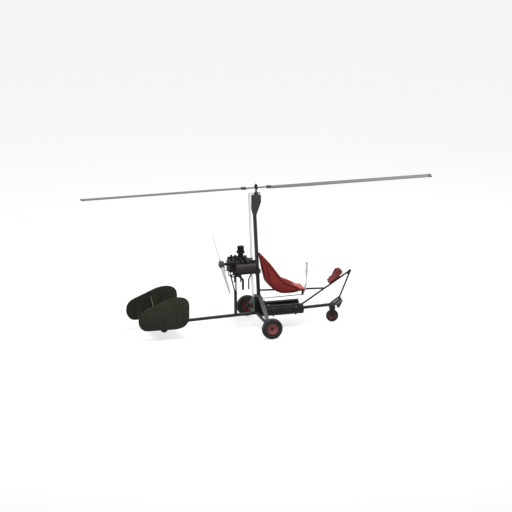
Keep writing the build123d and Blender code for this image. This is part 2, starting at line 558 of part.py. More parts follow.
# Finned barrels, slotted heads and rounded rocker covers on both sides
BARREL_XS = (-400, -185)
BARREL_HEIGHT = (HEAD_BOTTOM + HEAD_TOP) / 2
BARREL_RADIUS = 52
FIN_COUNT = 6
FIN_SIZE = 136
FIN_SHEET = 5
HEAD_INSET = 12
COVER_PROFILE = [(0, 0), (28, 6), (COVER_DEPTH, 34), (COVER_DEPTH, 92), (33, 102), (COVER_DEPTH, 112),
                 (36, 146), (18, 166), (0, 166)]  # out from the head, up from its bottom
COVER_TAPER = 30
barrels = []
covers = []
heads = []
for side in SIDES.values():
    inner = CASE_HALF_WIDTH + BARREL_LENGTH
    outer = inner + HEAD_LENGTH
    for x in BARREL_XS:
        foot = Pos(x, side * CASE_HALF_WIDTH, BARREL_HEIGHT) * Rot(-90 * side, 0, 0)
        barrel = extrude(foot * RegularPolygon(BARREL_RADIUS, 8), amount=BARREL_LENGTH)
        for step in range(FIN_COUNT):
            y = side * (CASE_HALF_WIDTH + 12 + step * (BARREL_LENGTH - 20) / (FIN_COUNT - 1))
            barrel += Pos(x, y, BARREL_HEIGHT) * Box(FIN_SIZE, FIN_SHEET, FIN_SIZE)
        barrels.append(barrel)
    head = box(HEAD_REAR + HEAD_INSET, HEAD_FRONT - HEAD_INSET, *span(side, inner, outer), HEAD_BOTTOM,
               HEAD_TOP - HEAD_INSET)
    for step in range(HEAD_SLOTS):
        slot = span(side, inner + 9 + step * (HEAD_LENGTH - 28) / (HEAD_SLOTS - 1),
                    inner + 19 + step * (HEAD_LENGTH - 28) / (HEAD_SLOTS - 1))
        head -= box(HEAD_REAR, HEAD_FRONT, *slot, HEAD_TOP - 62, HEAD_TOP)
        head -= box(HEAD_REAR, HEAD_FRONT, *slot, HEAD_BOTTOM, HEAD_BOTTOM + 50)
    heads.append(head)
    section = [(side * (outer + out), HEAD_BOTTOM + up) for out, up in COVER_PROFILE]
    base, face = side * outer, side * (outer + COVER_DEPTH)
    plan = Polyline((HEAD_REAR, base), (HEAD_REAR + COVER_TAPER, face), (HEAD_FRONT - COVER_TAPER, face),
                    (HEAD_FRONT, base), close=True)
    covers.append(cross_plate(section, HEAD_REAR, HEAD_FRONT) & extrude(make_face(plan), amount=BEYOND))
save("cylinder_barrels", *barrels)
save("cylinder_heads", *heads)
save("rocker_covers", *covers)

# Intake: plenum and carburettor under the filter canister, a runner to each head, two caps behind
INTAKE_X = -312
PLENUM_TOP = ENGINE_TOP + 46
FILTER_RADIUS = 67.5
FILTER_BOTTOM = PLENUM_TOP + 115
FILTER_TOP = FILTER_BOTTOM + 97
FLANGE = (80, FILTER_BOTTOM - 38, FILTER_BOTTOM - 4)  # radius, bottom, top
NECK_RADIUS = 52
RUNNER_RADIUS = 16
RUNNERS = [(-345, -336), (-255, -235)]  # x at the plenum, x at the head
RUNNER_END = 250
CAPS = [(-501, 21.5, 104), (-429, 17, 100)]  # x, radius, height over the case
flange_radius, flange_bottom, flange_top = FLANGE
carburettor = box(INTAKE_X - 75, INTAKE_X + 95, -50, 50, ENGINE_TOP, PLENUM_TOP)
carburettor += rod((INTAKE_X, 0, PLENUM_TOP), (INTAKE_X, 0, FILTER_BOTTOM), NECK_RADIUS)
carburettor += rod((INTAKE_X, 0, flange_bottom), (INTAKE_X, 0, flange_top), flange_radius)
save("carburettor", carburettor)
save("air_filter", rod((INTAKE_X, 0, FILTER_BOTTOM), (INTAKE_X, 0, FILTER_TOP), FILTER_RADIUS))
pipes = []
head_top = HEAD_TOP - HEAD_INSET
for side in SIDES.values():
    for near_x, far_x in RUNNERS:
        end_y = side * RUNNER_END
        runner = rod((near_x, side * 42, PLENUM_TOP - 20), (far_x, end_y, HEAD_TOP + 8), RUNNER_RADIUS)
        port = rod((far_x, end_y, head_top), (far_x, end_y, head_top + 40), RUNNER_RADIUS + 5)
        pipes.append(biggest(runner + port - carburettor - case - written["cylinder_heads"]))
save("intake_pipes", *pipes)
caps = [rod((x, 0, CASE_TOP), (x, 0, CASE_TOP + rise), radius) - case for x, radius, rise in CAPS]
save("magneto", *caps)

# Exhaust stubs: elbow, then straight down, two on each side
STUBS = [(-344, 22, 78), (-228, 14, -42)]  # x of the outlet, pipe radius, offset of its head port
STUB_OUT = 268
STUB_END = HEAD_BOTTOM - 349
stubs = []
for side in SIDES.values():
    y = side * STUB_OUT
    for x, radius, offset in STUBS:
        port = (x - offset, y, HEAD_BOTTOM)
        path = FilletPolyline(port, (x - offset, y, HEAD_BOTTOM - 75), (x, y, HEAD_BOTTOM - 150),
                              (x, y, STUB_END), radius=55)
        stubs.append(sweep(Plane(port, z_dir=(0, 0, -1)) * Circle(radius), path=path))
save("exhaust_stubs", *stubs)

# Engine bearers: clamped to the mast in front, hung from a rail on the forked post behind
BEARER_INNER = 58
BEARER_OUTER = 93
BEARER_BOTTOM = ENGINE_BOTTOM - 60
BEARER_REAR = -450
CLAMP_CLEAR = 10  # from the clamp's cheeks to the seat's back
clamp_front = mast_front(ENGINE_BOTTOM) + 10
clamp_rear = mast_rear(ENGINE_BOTTOM) - 6
clamp_nose = seat_back_x(ENGINE_BOTTOM - 10) - CLAMP_CLEAR
CLAMP_SHAPE = [(clamp_rear, 75), (10, 87), (clamp_nose, -10), (clamp_nose - 10, -70), (28, -129),
               (clamp_rear, -115)]  # x, height over the engine's bottom
CLAMP_OUTLINE = [(x, ENGINE_BOTTOM + rise) for x, rise in CLAMP_SHAPE]
clamp = box(clamp_rear, clamp_front, -BEARER_OUTER, BEARER_OUTER, BEARER_BOTTOM, ENGINE_BOTTOM)
for side in SIDES.values():
    clamp += side_plate(CLAMP_OUTLINE, *span(side, HALF_KEEL, HALF_KEEL + PLATE))
save("mast_clamp", clamp - mast_outside)
bearers = [box(BEARER_REAR, clamp_rear, *span(side, BEARER_INNER, BEARER_OUTER), BEARER_BOTTOM, ENGINE_BOTTOM)
           for side in SIDES.values()]
save("engine_bearers", *bearers)
POST_X = -410
POST_HALF = 25
POST_FORK = 770
RAIL_INNER = 62
RAIL_OUTER = 78
RAIL_REAR = -540
RAIL_FRONT = -345
RAIL_TOP = BEARER_BOTTOM - 25
RAIL_BOTTOM = RAIL_TOP - 20
HANGER = 12
post = side_plate([(POST_X - POST_HALF, keel_bottom(POST_X)), (POST_X + POST_HALF, keel_bottom(POST_X)),
                   (POST_X + 18, POST_FORK), (POST_X - 32, POST_FORK)], -HALF_KEEL, HALF_KEEL) - keel_outside
post = post.solids().sort_by(Axis.Z)[-1]
for top_x, bottom_x in ((-510, POST_X - 20), (POST_X, POST_X + 5)):
    post += bar((bottom_x, 0, POST_FORK - 5), (top_x, 0, RAIL_BOTTOM + 10), (0, 1, 0), 25, 22)
    post += box(top_x - 16, top_x + 16, -RAIL_OUTER, RAIL_OUTER, RAIL_BOTTOM, RAIL_TOP)
for side in SIDES.values():
    widths = span(side, RAIL_INNER, RAIL_OUTER)
    post += box(RAIL_REAR, RAIL_FRONT, *widths, RAIL_BOTTOM, RAIL_TOP)
    post += box(RAIL_REAR, RAIL_REAR + HANGER, *widths, RAIL_TOP, ENGINE_BOTTOM)
    post += box(BEARER_REAR, POST_X + 40, *widths, RAIL_TOP, BEARER_BOTTOM)
save("engine_post", post)

# Propeller: twisted two-blade airscrew with a round boss
BLADE_STATIONS = [  # radius, chord, blade angle, thickness
    (70, 70, 40, 30), (200, 84, 27, 18), (420, 80, 18, 12), (620, 68, 14, 9), (PROPELLER_RADIUS, 44, 12, 6)]
BOSS_RADIUS = 68
BOSS_HALF = 32
FLANGE_SHEET = 14
PLATE_SHEET = 10


def lens(chord, thickness):
    """A two-arc section, chord along X."""
    top = ThreePointArc((-chord / 2, 0), (0, thickness / 2), (chord / 2, 0))
    bottom = ThreePointArc((chord / 2, 0), (0, -thickness / 2), (-chord / 2, 0))
    return make_face([top, bottom])


def propeller():
    sections = [Pos(0, 0, r) * Rot(0, 0, 90 - angle) * lens(chord, thick)
                for r, chord, angle, thick in BLADE_STATIONS]
    root_radius, root_chord, root_angle, root_thick = BLADE_STATIONS[0]
    root = Rot(0, 0, 90 - root_angle) * lens(root_chord, root_thick)
    one_blade = loft(sections, ruled=True) + Pos(0, 0, 20) * extrude(root, amount=root_radius - 20)
    whole = rod((-BOSS_HALF, 0, 0), (BOSS_HALF, 0, 0), BOSS_RADIUS)
    for turn in (0, 180):
        whole += Rot(turn, 0, 0) * one_blade
    return Pos(PROPELLER_X, 0, PROPELLER_HEIGHT) * Rot(-PROPELLER_PARKED, 0, 0) * whole


def on_shaft(near, far, radius):
    """A round piece on the propeller's axis, placed from the middle of its boss."""
    return rod((PROPELLER_X + near, 0, PROPELLER_HEIGHT), (PROPELLER_X + far, 0, PROPELLER_HEIGHT), radius)


save("propeller", propeller())
shaft_end = DRIVE_END + 50 - PROPELLER_X
save("propeller_flange",
     on_shaft(BOSS_HALF, BOSS_HALF + FLANGE_SHEET, BOSS_RADIUS - 8)
     + on_shaft(BOSS_HALF + FLANGE_SHEET, shaft_end, PROP_SHAFT_RADIUS),
     on_shaft(-BOSS_HALF - PLATE_SHEET, -BOSS_HALF, BOSS_RADIUS - 13))

# Tail: stabiliser on the keel, fins outboard, rudders hinged behind them
FIN_INNER = FIN_SPACING_HALF - FIN_THICKNESS / 2
FIN_OUTER = FIN_SPACING_HALF + FIN_THICKNESS / 2
stabiliser = side_plate([(STABILISER_FRONT, keel_top(STABILISER_FRONT)),
                         (STABILISER_FRONT, keel_top(STABILISER_FRONT) + 10),
                         (STABILISER_FRONT - 60, keel_top(STABILISER_FRONT - 60) + STABILISER_THICKNESS),
                         (STABILISER_REAR + 120, keel_top(STABILISER_REAR + 120) + STABILISER_THICKNESS),
                         (STABILISER_REAR, keel_top(STABILISER_REAR) + 8),
                         (STABILISER_REAR, keel_top(STABILISER_REAR))], -FIN_INNER, FIN_INNER)
save("stabiliser", stabiliser)
FIN_OUTLINE = [(-1475, 370), (-1475, 690), (-1500, 775), (-1570, 838), (-1700, 868), (-2010, 798),
               (-2210, 715), (-2430, 610), (-2484, 540), (-2500, 430), (-2480, 344), (-2430, 270),
               (-2360, 232), (-1730, 222), (-1606, 250)]
HINGE_RADIUS = FIN_THICKNESS / 2
LUG_HEIGHTS = (320, 650)
PIN_RADIUS = 4
STRUT_X = -1985
STRUT_TOP = 675
STRUT_RADIUS = 11
HINGE_FOOT, HINGE_TOP = FIN_OUTLINE[-2][1] + 10, 752
fin_rear = RUDDER_HINGE + HINGE_RADIUS + CLEAR
struts = []
for name, side in SIDES.items():
    inner, outer = span(side, FIN_INNER, FIN_OUTER)
    y = side * FIN_SPACING_HALF
    whole = side_plate(FIN_OUTLINE, inner, outer)
    fin = whole & box(fin_rear, BEYOND, -BEYOND, BEYOND, 0, BEYOND)
    rudder = whole & box(-BEYOND, RUDDER_HINGE, -BEYOND, BEYOND, 0, BEYOND)
    rudder += rod((RUDDER_HINGE, y, HINGE_FOOT), (RUDDER_HINGE, y, HINGE_TOP), HINGE_RADIUS) & whole
    for z in LUG_HEIGHTS:
        lug = box(RUDDER_HINGE, fin_rear, y - 7, y + 7, z - 5, z + 5)
        lug += rod((RUDDER_HINGE, y, z - 5), (RUDDER_HINGE, y, z + 5), 8)
        fin += lug - rod((RUDDER_HINGE, y, z - 9), (RUDDER_HINGE, y, z + 9), PIN_RADIUS + RUNNING_GAP)
        rudder -= box(RUDDER_HINGE - 18, RUDDER_HINGE + 20, inner - 5, outer + 5, z - 10, z + 10)
        rudder += rod((RUDDER_HINGE, y, z - 11), (RUDDER_HINGE, y, z + 11), PIN_RADIUS)
    save(f"fin_{name}", fin)
    save(f"rudder_{name}", rudder)
    strut = rod((STRUT_X, side * 2 * HALF_KEEL, keel_top(STRUT_X)),
                (STRUT_X - 20, side * (FIN_INNER + 5), STRUT_TOP), STRUT_RADIUS)
    struts.append(biggest(strut - written["stabiliser"] - written[f"fin_{name}"]))
save("fin_struts", *struts)

# Pedals on two cross tubes along the top of the diagonal
PEDAL_INNER = 20
PEDAL_OUTER = 95
PEDAL_OUTLINE = [(1440, 766), (1422, 838), (1505, 912), (1588, 1072), (1702, 1042), (1722, 950)]
PEDAL_TUBE_XS = (1490, 1640)
PEDAL_TUBE_RADIUS = 8
pedals = []
pedal_tubes = []
for x in PEDAL_TUBE_XS:
    centre_height = diagonal_at(x) + (DIAGONAL_RADIUS + PEDAL_TUBE_RADIUS - 1) / cos(atan(DIAGONAL_SLOPE))
    pedal_tubes.append(cross_rod(x, centre_height, PEDAL_OUTER, PEDAL_TUBE_RADIUS) - written["nose_diagonal"])
save("pedal_cross_tubes", *pedal_tubes)
for side in SIDES.values():
    pedal = side_plate(PEDAL_OUTLINE, *span(side, PEDAL_INNER, PEDAL_OUTER))
    pedals.append(pedal - written["pedal_cross_tubes"] - written["nose_diagonal"])
save("pedals", *pedals)

# Control stick: grip, tube and a yoke straddling the seat tube, on a bracket below it
STICK_X = STICK_PIVOT_X + 68
YOKE_BOTTOM = STICK_PIVOT_HEIGHT + 168
YOKE_TOP = YOKE_BOTTOM + 30
GRIP_BOTTOM = YOKE_BOTTOM + 215
GRIP_TOP = GRIP_BOTTOM + 263
GRIP_RADIUS = 19
STICK_RADIUS = 11
YOKE_INNER = 23
YOKE_OUTER = YOKE_INNER + PLATE
STICK_PIN_RADIUS = 8
yoke_front = STICK_X + 12
stick = rod((yoke_front, 0, GRIP_BOTTOM), (yoke_front + 6, 0, GRIP_TOP), GRIP_RADIUS)
stick += rod((STICK_X, 0, YOKE_BOTTOM), (yoke_front, 0, GRIP_BOTTOM + 1), STICK_RADIUS)
pin_bottom = STICK_PIVOT_HEIGHT - 12
YOKE_OUTLINE = [(STICK_X - 8, YOKE_TOP), (yoke_front, YOKE_TOP), (STICK_PIVOT_X + 12, pin_bottom),
                (STICK_PIVOT_X - 12, pin_bottom)]
for side in SIDES.values():
    stick += side_plate(YOKE_OUTLINE, *span(side, YOKE_INNER, YOKE_OUTER))
stick += box(STICK_X - 10, yoke_front, -YOKE_OUTER, YOKE_OUTER, YOKE_BOTTOM, YOKE_TOP)
stick += cross_rod(STICK_PIVOT_X, STICK_PIVOT_HEIGHT, YOKE_OUTER + 5, STICK_PIN_RADIUS)
save("control_stick", stick - written["seat_tube"] - written["control_mixer"])
bracket = box(STICK_PIVOT_X - 20, STICK_PIVOT_X + 20, -10, 10, STICK_PIVOT_HEIGHT - 16,
              seat_tube_top(STICK_PIVOT_X))
for neighbour in ("seat_tube", "control_stick", "control_mixer"):
    bracket -= written[neighbour]
save("stick_bracket", biggest(bracket))

# Rotor: tower on the spinning shaft, hub bar on the teeter bolt, straps and blades
EAR_INNER = 21
EAR_OUTER = 29
TEETER_HEIGHT = ROTOR_HEIGHT + TEETER_RISE
TOWER_TOP = ROTOR_HEIGHT - HUB_BAR_THICKNESS / 2 - 8
tower_foot = bearing_top + CLEAR
tower = rod((0, 0, tower_foot), (0, 0, TOWER_TOP), TOWER_RADIUS)
tower += rod((0, 0, SHAFT_FOOT + 3), (0, 0, tower_foot), SHAFT_RADIUS)
tower += box(-22, 22, -EAR_OUTER, EAR_OUTER, TOWER_TOP - 12, TOWER_TOP)
EAR_TOP = TEETER_HEIGHT + 53
EAR_OUTLINE = [(-22, TOWER_TOP - 12), (-36, ROTOR_HEIGHT + 6), (-12, EAR_TOP), (12, EAR_TOP),
               (36, ROTOR_HEIGHT + 6), (22, TOWER_TOP - 12)]
for side in SIDES.values():
    tower += side_plate(EAR_OUTLINE, *span(side, EAR_INNER, EAR_OUTER))
tower += cross_rod(0, TEETER_HEIGHT, EAR_OUTER + BOLT_END, BOLT_RADIUS)
turn_rotor = Rot(0, 0, ROTOR_YAW)
save("rotor_tower", turn_rotor * tower)

TEETER_HALF = 15
hub_bar = box(-HUB_BAR_HALF_LENGTH, HUB_BAR_HALF_LENGTH, -HUB_BAR_WIDTH / 2, HUB_BAR_WIDTH / 2,
              ROTOR_HEIGHT - HUB_BAR_THICKNESS / 2, ROTOR_HEIGHT + HUB_BAR_THICKNESS / 2)
for side in SIDES.values():
    hub_bar -= box(-48, 48, *span(side, TEETER_HALF, HUB_BAR_WIDTH), ROTOR_HEIGHT - 20, ROTOR_HEIGHT + 20)
hub_bar += box(-20, 20, -TEETER_HALF, TEETER_HALF, ROTOR_HEIGHT, TEETER_HEIGHT + 14)
hub_bar -= cross_rod(0, TEETER_HEIGHT, HUB_BAR_WIDTH, BOLT_RADIUS + RUNNING_GAP)
save("hub_bar", turn_rotor * hub_bar)


def blade_section():
    """Wing section, leading edge at zero, chord towards -Y in the blade's own view."""
    c, t = BLADE_CHORD, BLADE_THICKNESS
    top = ThreePointArc((0.02 * c, 0.26 * t), (0.34 * c, 0.62 * t), (c, 0.06 * t))
    tail = Line((c, 0.06 * t), (c, -0.02 * t))
    bottom = ThreePointArc((c, -0.02 * t), (0.40 * c, -0.38 * t), (0.02 * c, -0.20 * t))
    nose = ThreePointArc((0.02 * c, -0.20 * t), (0, 0.02 * t), (0.02 * c, 0.26 * t))
    return make_face([top, tail, bottom, nose])


def blade():
    """Blade pointing forward, its leading edge to port."""
    section = Plane((BLADE_ROOT, 0.28 * BLADE_CHORD, 0), x_dir=(0, -1, 0), z_dir=(1, 0, 0)) * blade_section()
    whole = extrude(section, amount=ROTOR_RADIUS - BLADE_ROOT)
    trailing = 0.28 * BLADE_CHORD - BLADE_CHORD
    root_trailing = 0.28 * BLADE_CHORD - BLADE_ROOT_CHORD
    cut = Polyline((BLADE_ROOT - 1, root_trailing), (BLADE_FULL_CHORD_AT, trailing - 1),
                   (BLADE_ROOT - 1, trailing - 1), close=True)
    whole -= Pos(0, 0, -50) * extrude(make_face(cut), amount=100)
    slot = box(BLADE_ROOT - 1, HUB_BAR_HALF_LENGTH, -HUB_BAR_WIDTH / 2, HUB_BAR_WIDTH / 2,
               -HUB_BAR_THICKNESS / 2, HUB_BAR_THICKNESS / 2)
    return Pos(0, 0, ROTOR_HEIGHT) * (Rot(BLADE_PITCH, 0, 0) * whole - slot)


straps = []
for name, turn in (("front", 0), ("rear", 180)):
    save(f"rotor_blade_{name}", turn_rotor * Rot(0, 0, turn) * blade())
    strap = box(205, 300, -46, 32, ROTOR_HEIGHT - 19, ROTOR_HEIGHT + 21)
    strap = turn_rotor * Rot(0, 0, turn) * strap
    straps.append(strap - written["hub_bar"] - written[f"rotor_blade_{name}"])
save("root_straps", *straps)
print(len(written), "nodes")
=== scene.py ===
# Gyrocopter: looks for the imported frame. Metres, X forward, Y to port, Z up.
import json
import math

import bmesh
import bpy
from mathutils import Matrix, Vector


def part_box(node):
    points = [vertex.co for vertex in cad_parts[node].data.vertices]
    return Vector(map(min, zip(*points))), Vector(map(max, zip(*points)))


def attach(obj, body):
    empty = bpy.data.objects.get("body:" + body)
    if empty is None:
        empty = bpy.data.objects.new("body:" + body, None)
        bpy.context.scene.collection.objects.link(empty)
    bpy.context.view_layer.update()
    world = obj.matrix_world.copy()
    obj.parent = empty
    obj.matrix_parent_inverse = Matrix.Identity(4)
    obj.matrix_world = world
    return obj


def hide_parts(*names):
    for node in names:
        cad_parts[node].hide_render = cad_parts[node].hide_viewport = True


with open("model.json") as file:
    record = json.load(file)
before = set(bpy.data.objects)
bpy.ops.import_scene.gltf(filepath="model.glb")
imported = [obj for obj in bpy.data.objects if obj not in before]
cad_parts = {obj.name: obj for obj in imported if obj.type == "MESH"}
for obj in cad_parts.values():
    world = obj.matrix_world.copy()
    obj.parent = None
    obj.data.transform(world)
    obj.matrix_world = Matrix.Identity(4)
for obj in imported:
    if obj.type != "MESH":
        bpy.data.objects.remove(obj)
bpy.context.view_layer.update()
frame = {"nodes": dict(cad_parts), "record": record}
nodes = frame["nodes"]
scene = bpy.context.scene
scene.view_settings.view_transform = "Standard"
scene.tool_settings.mesh_select_mode = (False, False, True)
slotOfNode = {row["node"]: row["material_slot"] for row in frame["record"]["subparts"]}
bothSides = (1, -1)  # port, starboard
sideNames = {1: "left", -1: "right"}
print("frame loaded:", len(nodes), "nodes")


# shader node helpers
def addNode(tree, kind, inputs=None, **settings):  # inputs: numbers, colours or other nodes' sockets
    node = tree.nodes.new("ShaderNode" + kind)
    for label, value in settings.items():
        setattr(node, label, value)
    for label, value in (inputs or {}).items():
        if isinstance(value, bpy.types.NodeSocket):
            tree.links.new(value, node.inputs[label])
        else:
            node.inputs[label].default_value = value
    return node


def mathNode(tree, operation, *values):  # products are masks, so they stay between 0 and 1
    clamped = operation == "MULTIPLY"
    return addNode(tree, "Math", dict(enumerate(values)), operation=operation, use_clamp=clamped).outputs[0]


def vectorNode(tree, operation, *values):
    return addNode(tree, "VectorMath", dict(enumerate(values)), operation=operation).outputs


def mapRange(tree, value, low, high, toLow=0.0, toHigh=1.0):
    inputs = {"Value": value, "From Min": low, "From Max": high, "To Min": toLow, "To Max": toHigh}
    return addNode(tree, "MapRange", inputs).outputs[0]


def mixColour(tree, mask, first, second):
    inputs = {0: mask}
    for socket, value in ((6, first), (7, second)):
        inputs[socket] = value + (1,) if isinstance(value, tuple) else value
    return addNode(tree, "Mix", inputs, data_type="RGBA").outputs[2]


def startMaterial(name):
    material = bpy.data.materials.new(name)
    material.use_nodes = True
    return material, material.node_tree, material.node_tree.nodes["Principled BSDF"]


def objectPlace(tree):
    return addNode(tree, "TexCoord").outputs["Object"]


def placeAlong(tree, axis):
    return addNode(tree, "SeparateXYZ", {0: objectPlace(tree)}).outputs[axis]


def markOf(tree, name):  # a mask that the piece carries in its mesh
    return addNode(tree, "Attribute", attribute_name=name).outputs["Fac"]


def seenThrough(tree):  # 1 where the camera, a reflection or glass looks, 0 where the surface lights others
    path = addNode(tree, "LightPath")
    seen = path.outputs["Is Camera Ray"]
    for ray in ("Is Glossy Ray", "Is Transmission Ray"):
        seen = mathNode(tree, "MAXIMUM", seen, path.outputs[ray])
    return seen


# camera, with the photo's viewing angle and framing
cameraSetup = {
    "azimuth": -16.6,
    "elevation": 16.1,
    "metresAcross": 9.919,
    "aim": (-0.001, 0.0, 1.4426),
    "distance": 30.0,
}


def makeCamera():
    azimuth = math.radians(cameraSetup["azimuth"])
    elevation = math.radians(cameraSetup["elevation"])
    flat = math.cos(elevation)
    back = Vector((math.sin(azimuth) * flat, -math.cos(azimuth) * flat, math.sin(elevation)))
    bpy.ops.object.camera_add(location=Vector(cameraSetup["aim"]) + back * cameraSetup["distance"])
    camera = bpy.context.object
    camera.name = "photoCamera"
    camera.rotation_mode = "QUATERNION"
    camera.rotation_quaternion = (-back).to_track_quat("-Z", "Y")
    camera.data.type = "ORTHO"
    camera.data.ortho_scale = cameraSetup["metresAcross"]
    camera.data.clip_end = 200
    scene.camera = camera


# light: an even pale sky, one large soft lamp high on the camera's side and a weak one behind
lightSetup = {
    "sky": 0.36,
    "skyColour": (0.95, 0.97, 1.0, 1),
    "lamps": [  # name, place, size, watts
        ("keyLamp", (-1.5, -3.8, 10.5), 5.0, 900),
        ("fillLamp", (5.0, 4.0, 7.0), 5.0, 160),
    ],
    "floorColour": (0.46, 0.46, 0.46, 1),
    "floorRough": 0.9,
    "floorGlow": 0.70,
    "floorSize": 60.0,
}


def makeWorld():
    world = bpy.data.worlds.new("studioWorld")
    scene.world = world
    world.use_nodes = True
    tree = world.node_tree
    tree.nodes.clear()
    sky = addNode(tree, "Background", {"Color": lightSetup["skyColour"], "Strength": lightSetup["sky"]})
    white = addNode(tree, "Background", {"Color": (1, 1, 1, 1)})
    mix = addNode(tree, "MixShader", {0: seenThrough(tree), 1: sky.outputs[0], 2: white.outputs[0]})
    addNode(tree, "OutputWorld", {"Surface": mix.outputs[0]})


def makeLamps():
    for name, place, size, watts in lightSetup["lamps"]:
        bpy.ops.object.light_add(type="AREA", location=place)
        lamp = bpy.context.object
        lamp.name = name
        lamp.data.size = size
        lamp.data.energy = watts
        lamp.rotation_mode = "QUATERNION"
        lamp.rotation_quaternion = (Vector((0, 0, 1)) - Vector(place)).to_track_quat("-Z", "Y")


def makeFloor():  # a matt floor that keeps the shadow and glows a little where it is looked at
    bpy.ops.mesh.primitive_plane_add(size=lightSetup["floorSize"], location=(0, 0, -0.001))
    floor = bpy.context.object
    floor.name = "studioFloor"
    material, tree, shader = startMaterial("paleFloor")
    shader.inputs["Base Color"].default_value = lightSetup["floorColour"]
    shader.inputs["Roughness"].default_value = lightSetup["floorRough"]
    shader.inputs["Emission Color"].default_value = (1, 1, 1, 1)
    glow = mathNode(tree, "MULTIPLY", seenThrough(tree), lightSetup["floorGlow"])
    tree.links.new(glow, shader.inputs["Emission Strength"])
    floor.data.materials.append(material)


makeCamera()
makeWorld()
makeLamps()
makeFloor()
print("camera, light and floor placed")


# shader node groups shared by the finishes
def newGroup(name, inputs, outputs):  # inputs: label, kind of socket, value
    group = bpy.data.node_groups.new(name, "ShaderNodeTree")
    for label, kind, value in inputs:
        socket = group.interface.new_socket(name=label, in_out="INPUT", socket_type="NodeSocket" + kind)
        socket.default_value = value
    for label in outputs:
        group.interface.new_socket(name=label, in_out="OUTPUT", socket_type="NodeSocketFloat")
    return group, group.nodes.new("NodeGroupInput").outputs, group.nodes.new("NodeGroupOutput").inputs


def patchy(group, scale, detail, low, high):  # a noise that leaves some of the surface out
    noise = addNode(group, "TexNoise", {"Vector": objectPlace(group), "Scale": scale, "Detail": detail})
    return mapRange(group, noise.outputs["Fac"], low, high)


def makeEdgeWear():  # rubbed edges, broken up by a noise
    inputs = [("Radius", "Float", 0.004), ("Amount", "Float", 0.5)]
    group, given, result = newGroup("edgeWear", inputs, ["Mask"])
    rounded = addNode(group, "Bevel", {"Radius": given["Radius"]}, samples=4).outputs[0]
    flat = addNode(group, "NewGeometry").outputs["Normal"]
    edge = mapRange(group, vectorNode(group, "DOT_PRODUCT", rounded, flat)["Value"], 0.995, 0.90)
    worn = mathNode(group, "MULTIPLY", edge, patchy(group, 28, 4, 0.38, 0.62))
    group.links.new(mathNode(group, "MULTIPLY", worn, given["Amount"]), result["Mask"])
    return group


def makeSurfaceGrain():  # a soft mottle and a fine grain at a given scale, stretched along one axis
    inputs = [("Mottle Scale", "Float", 3.0), ("Grain Scale", "Float", 120.0),
              ("Stretch", "Vector", (1, 1, 1))]
    group, given, result = newGroup("surfaceGrain", inputs, ["Mottle", "Grain"])
    stretched = vectorNode(group, "MULTIPLY", objectPlace(group), given["Stretch"])[0]
    for label, detail in (("Mottle", 5), ("Grain", 3)):
        inputs = {"Vector": stretched, "Scale": given[label + " Scale"], "Detail": detail}
        noise = addNode(group, "TexNoise", inputs)
        group.links.new(mapRange(group, noise.outputs["Fac"], 0.3, 0.7), result[label])
    return group


def makeDustFilm():  # pale dust where the surface looks up
    group, given, result = newGroup("dustFilm", [("Amount", "Float", 0.3)], ["Mask"])
    upward = addNode(group, "SeparateXYZ", {0: addNode(group, "NewGeometry").outputs["Normal"]}).outputs["Z"]
    film = mathNode(group, "MULTIPLY", mapRange(group, upward, 0.25, 1.0), patchy(group, 9, 6, 0.35, 0.7))
    group.links.new(mathNode(group, "MULTIPLY", film, given["Amount"]), result["Mask"])
    return group


edgeWear = makeEdgeWear()
surfaceGrain = makeSurfaceGrain()
dustFilm = makeDustFilm()

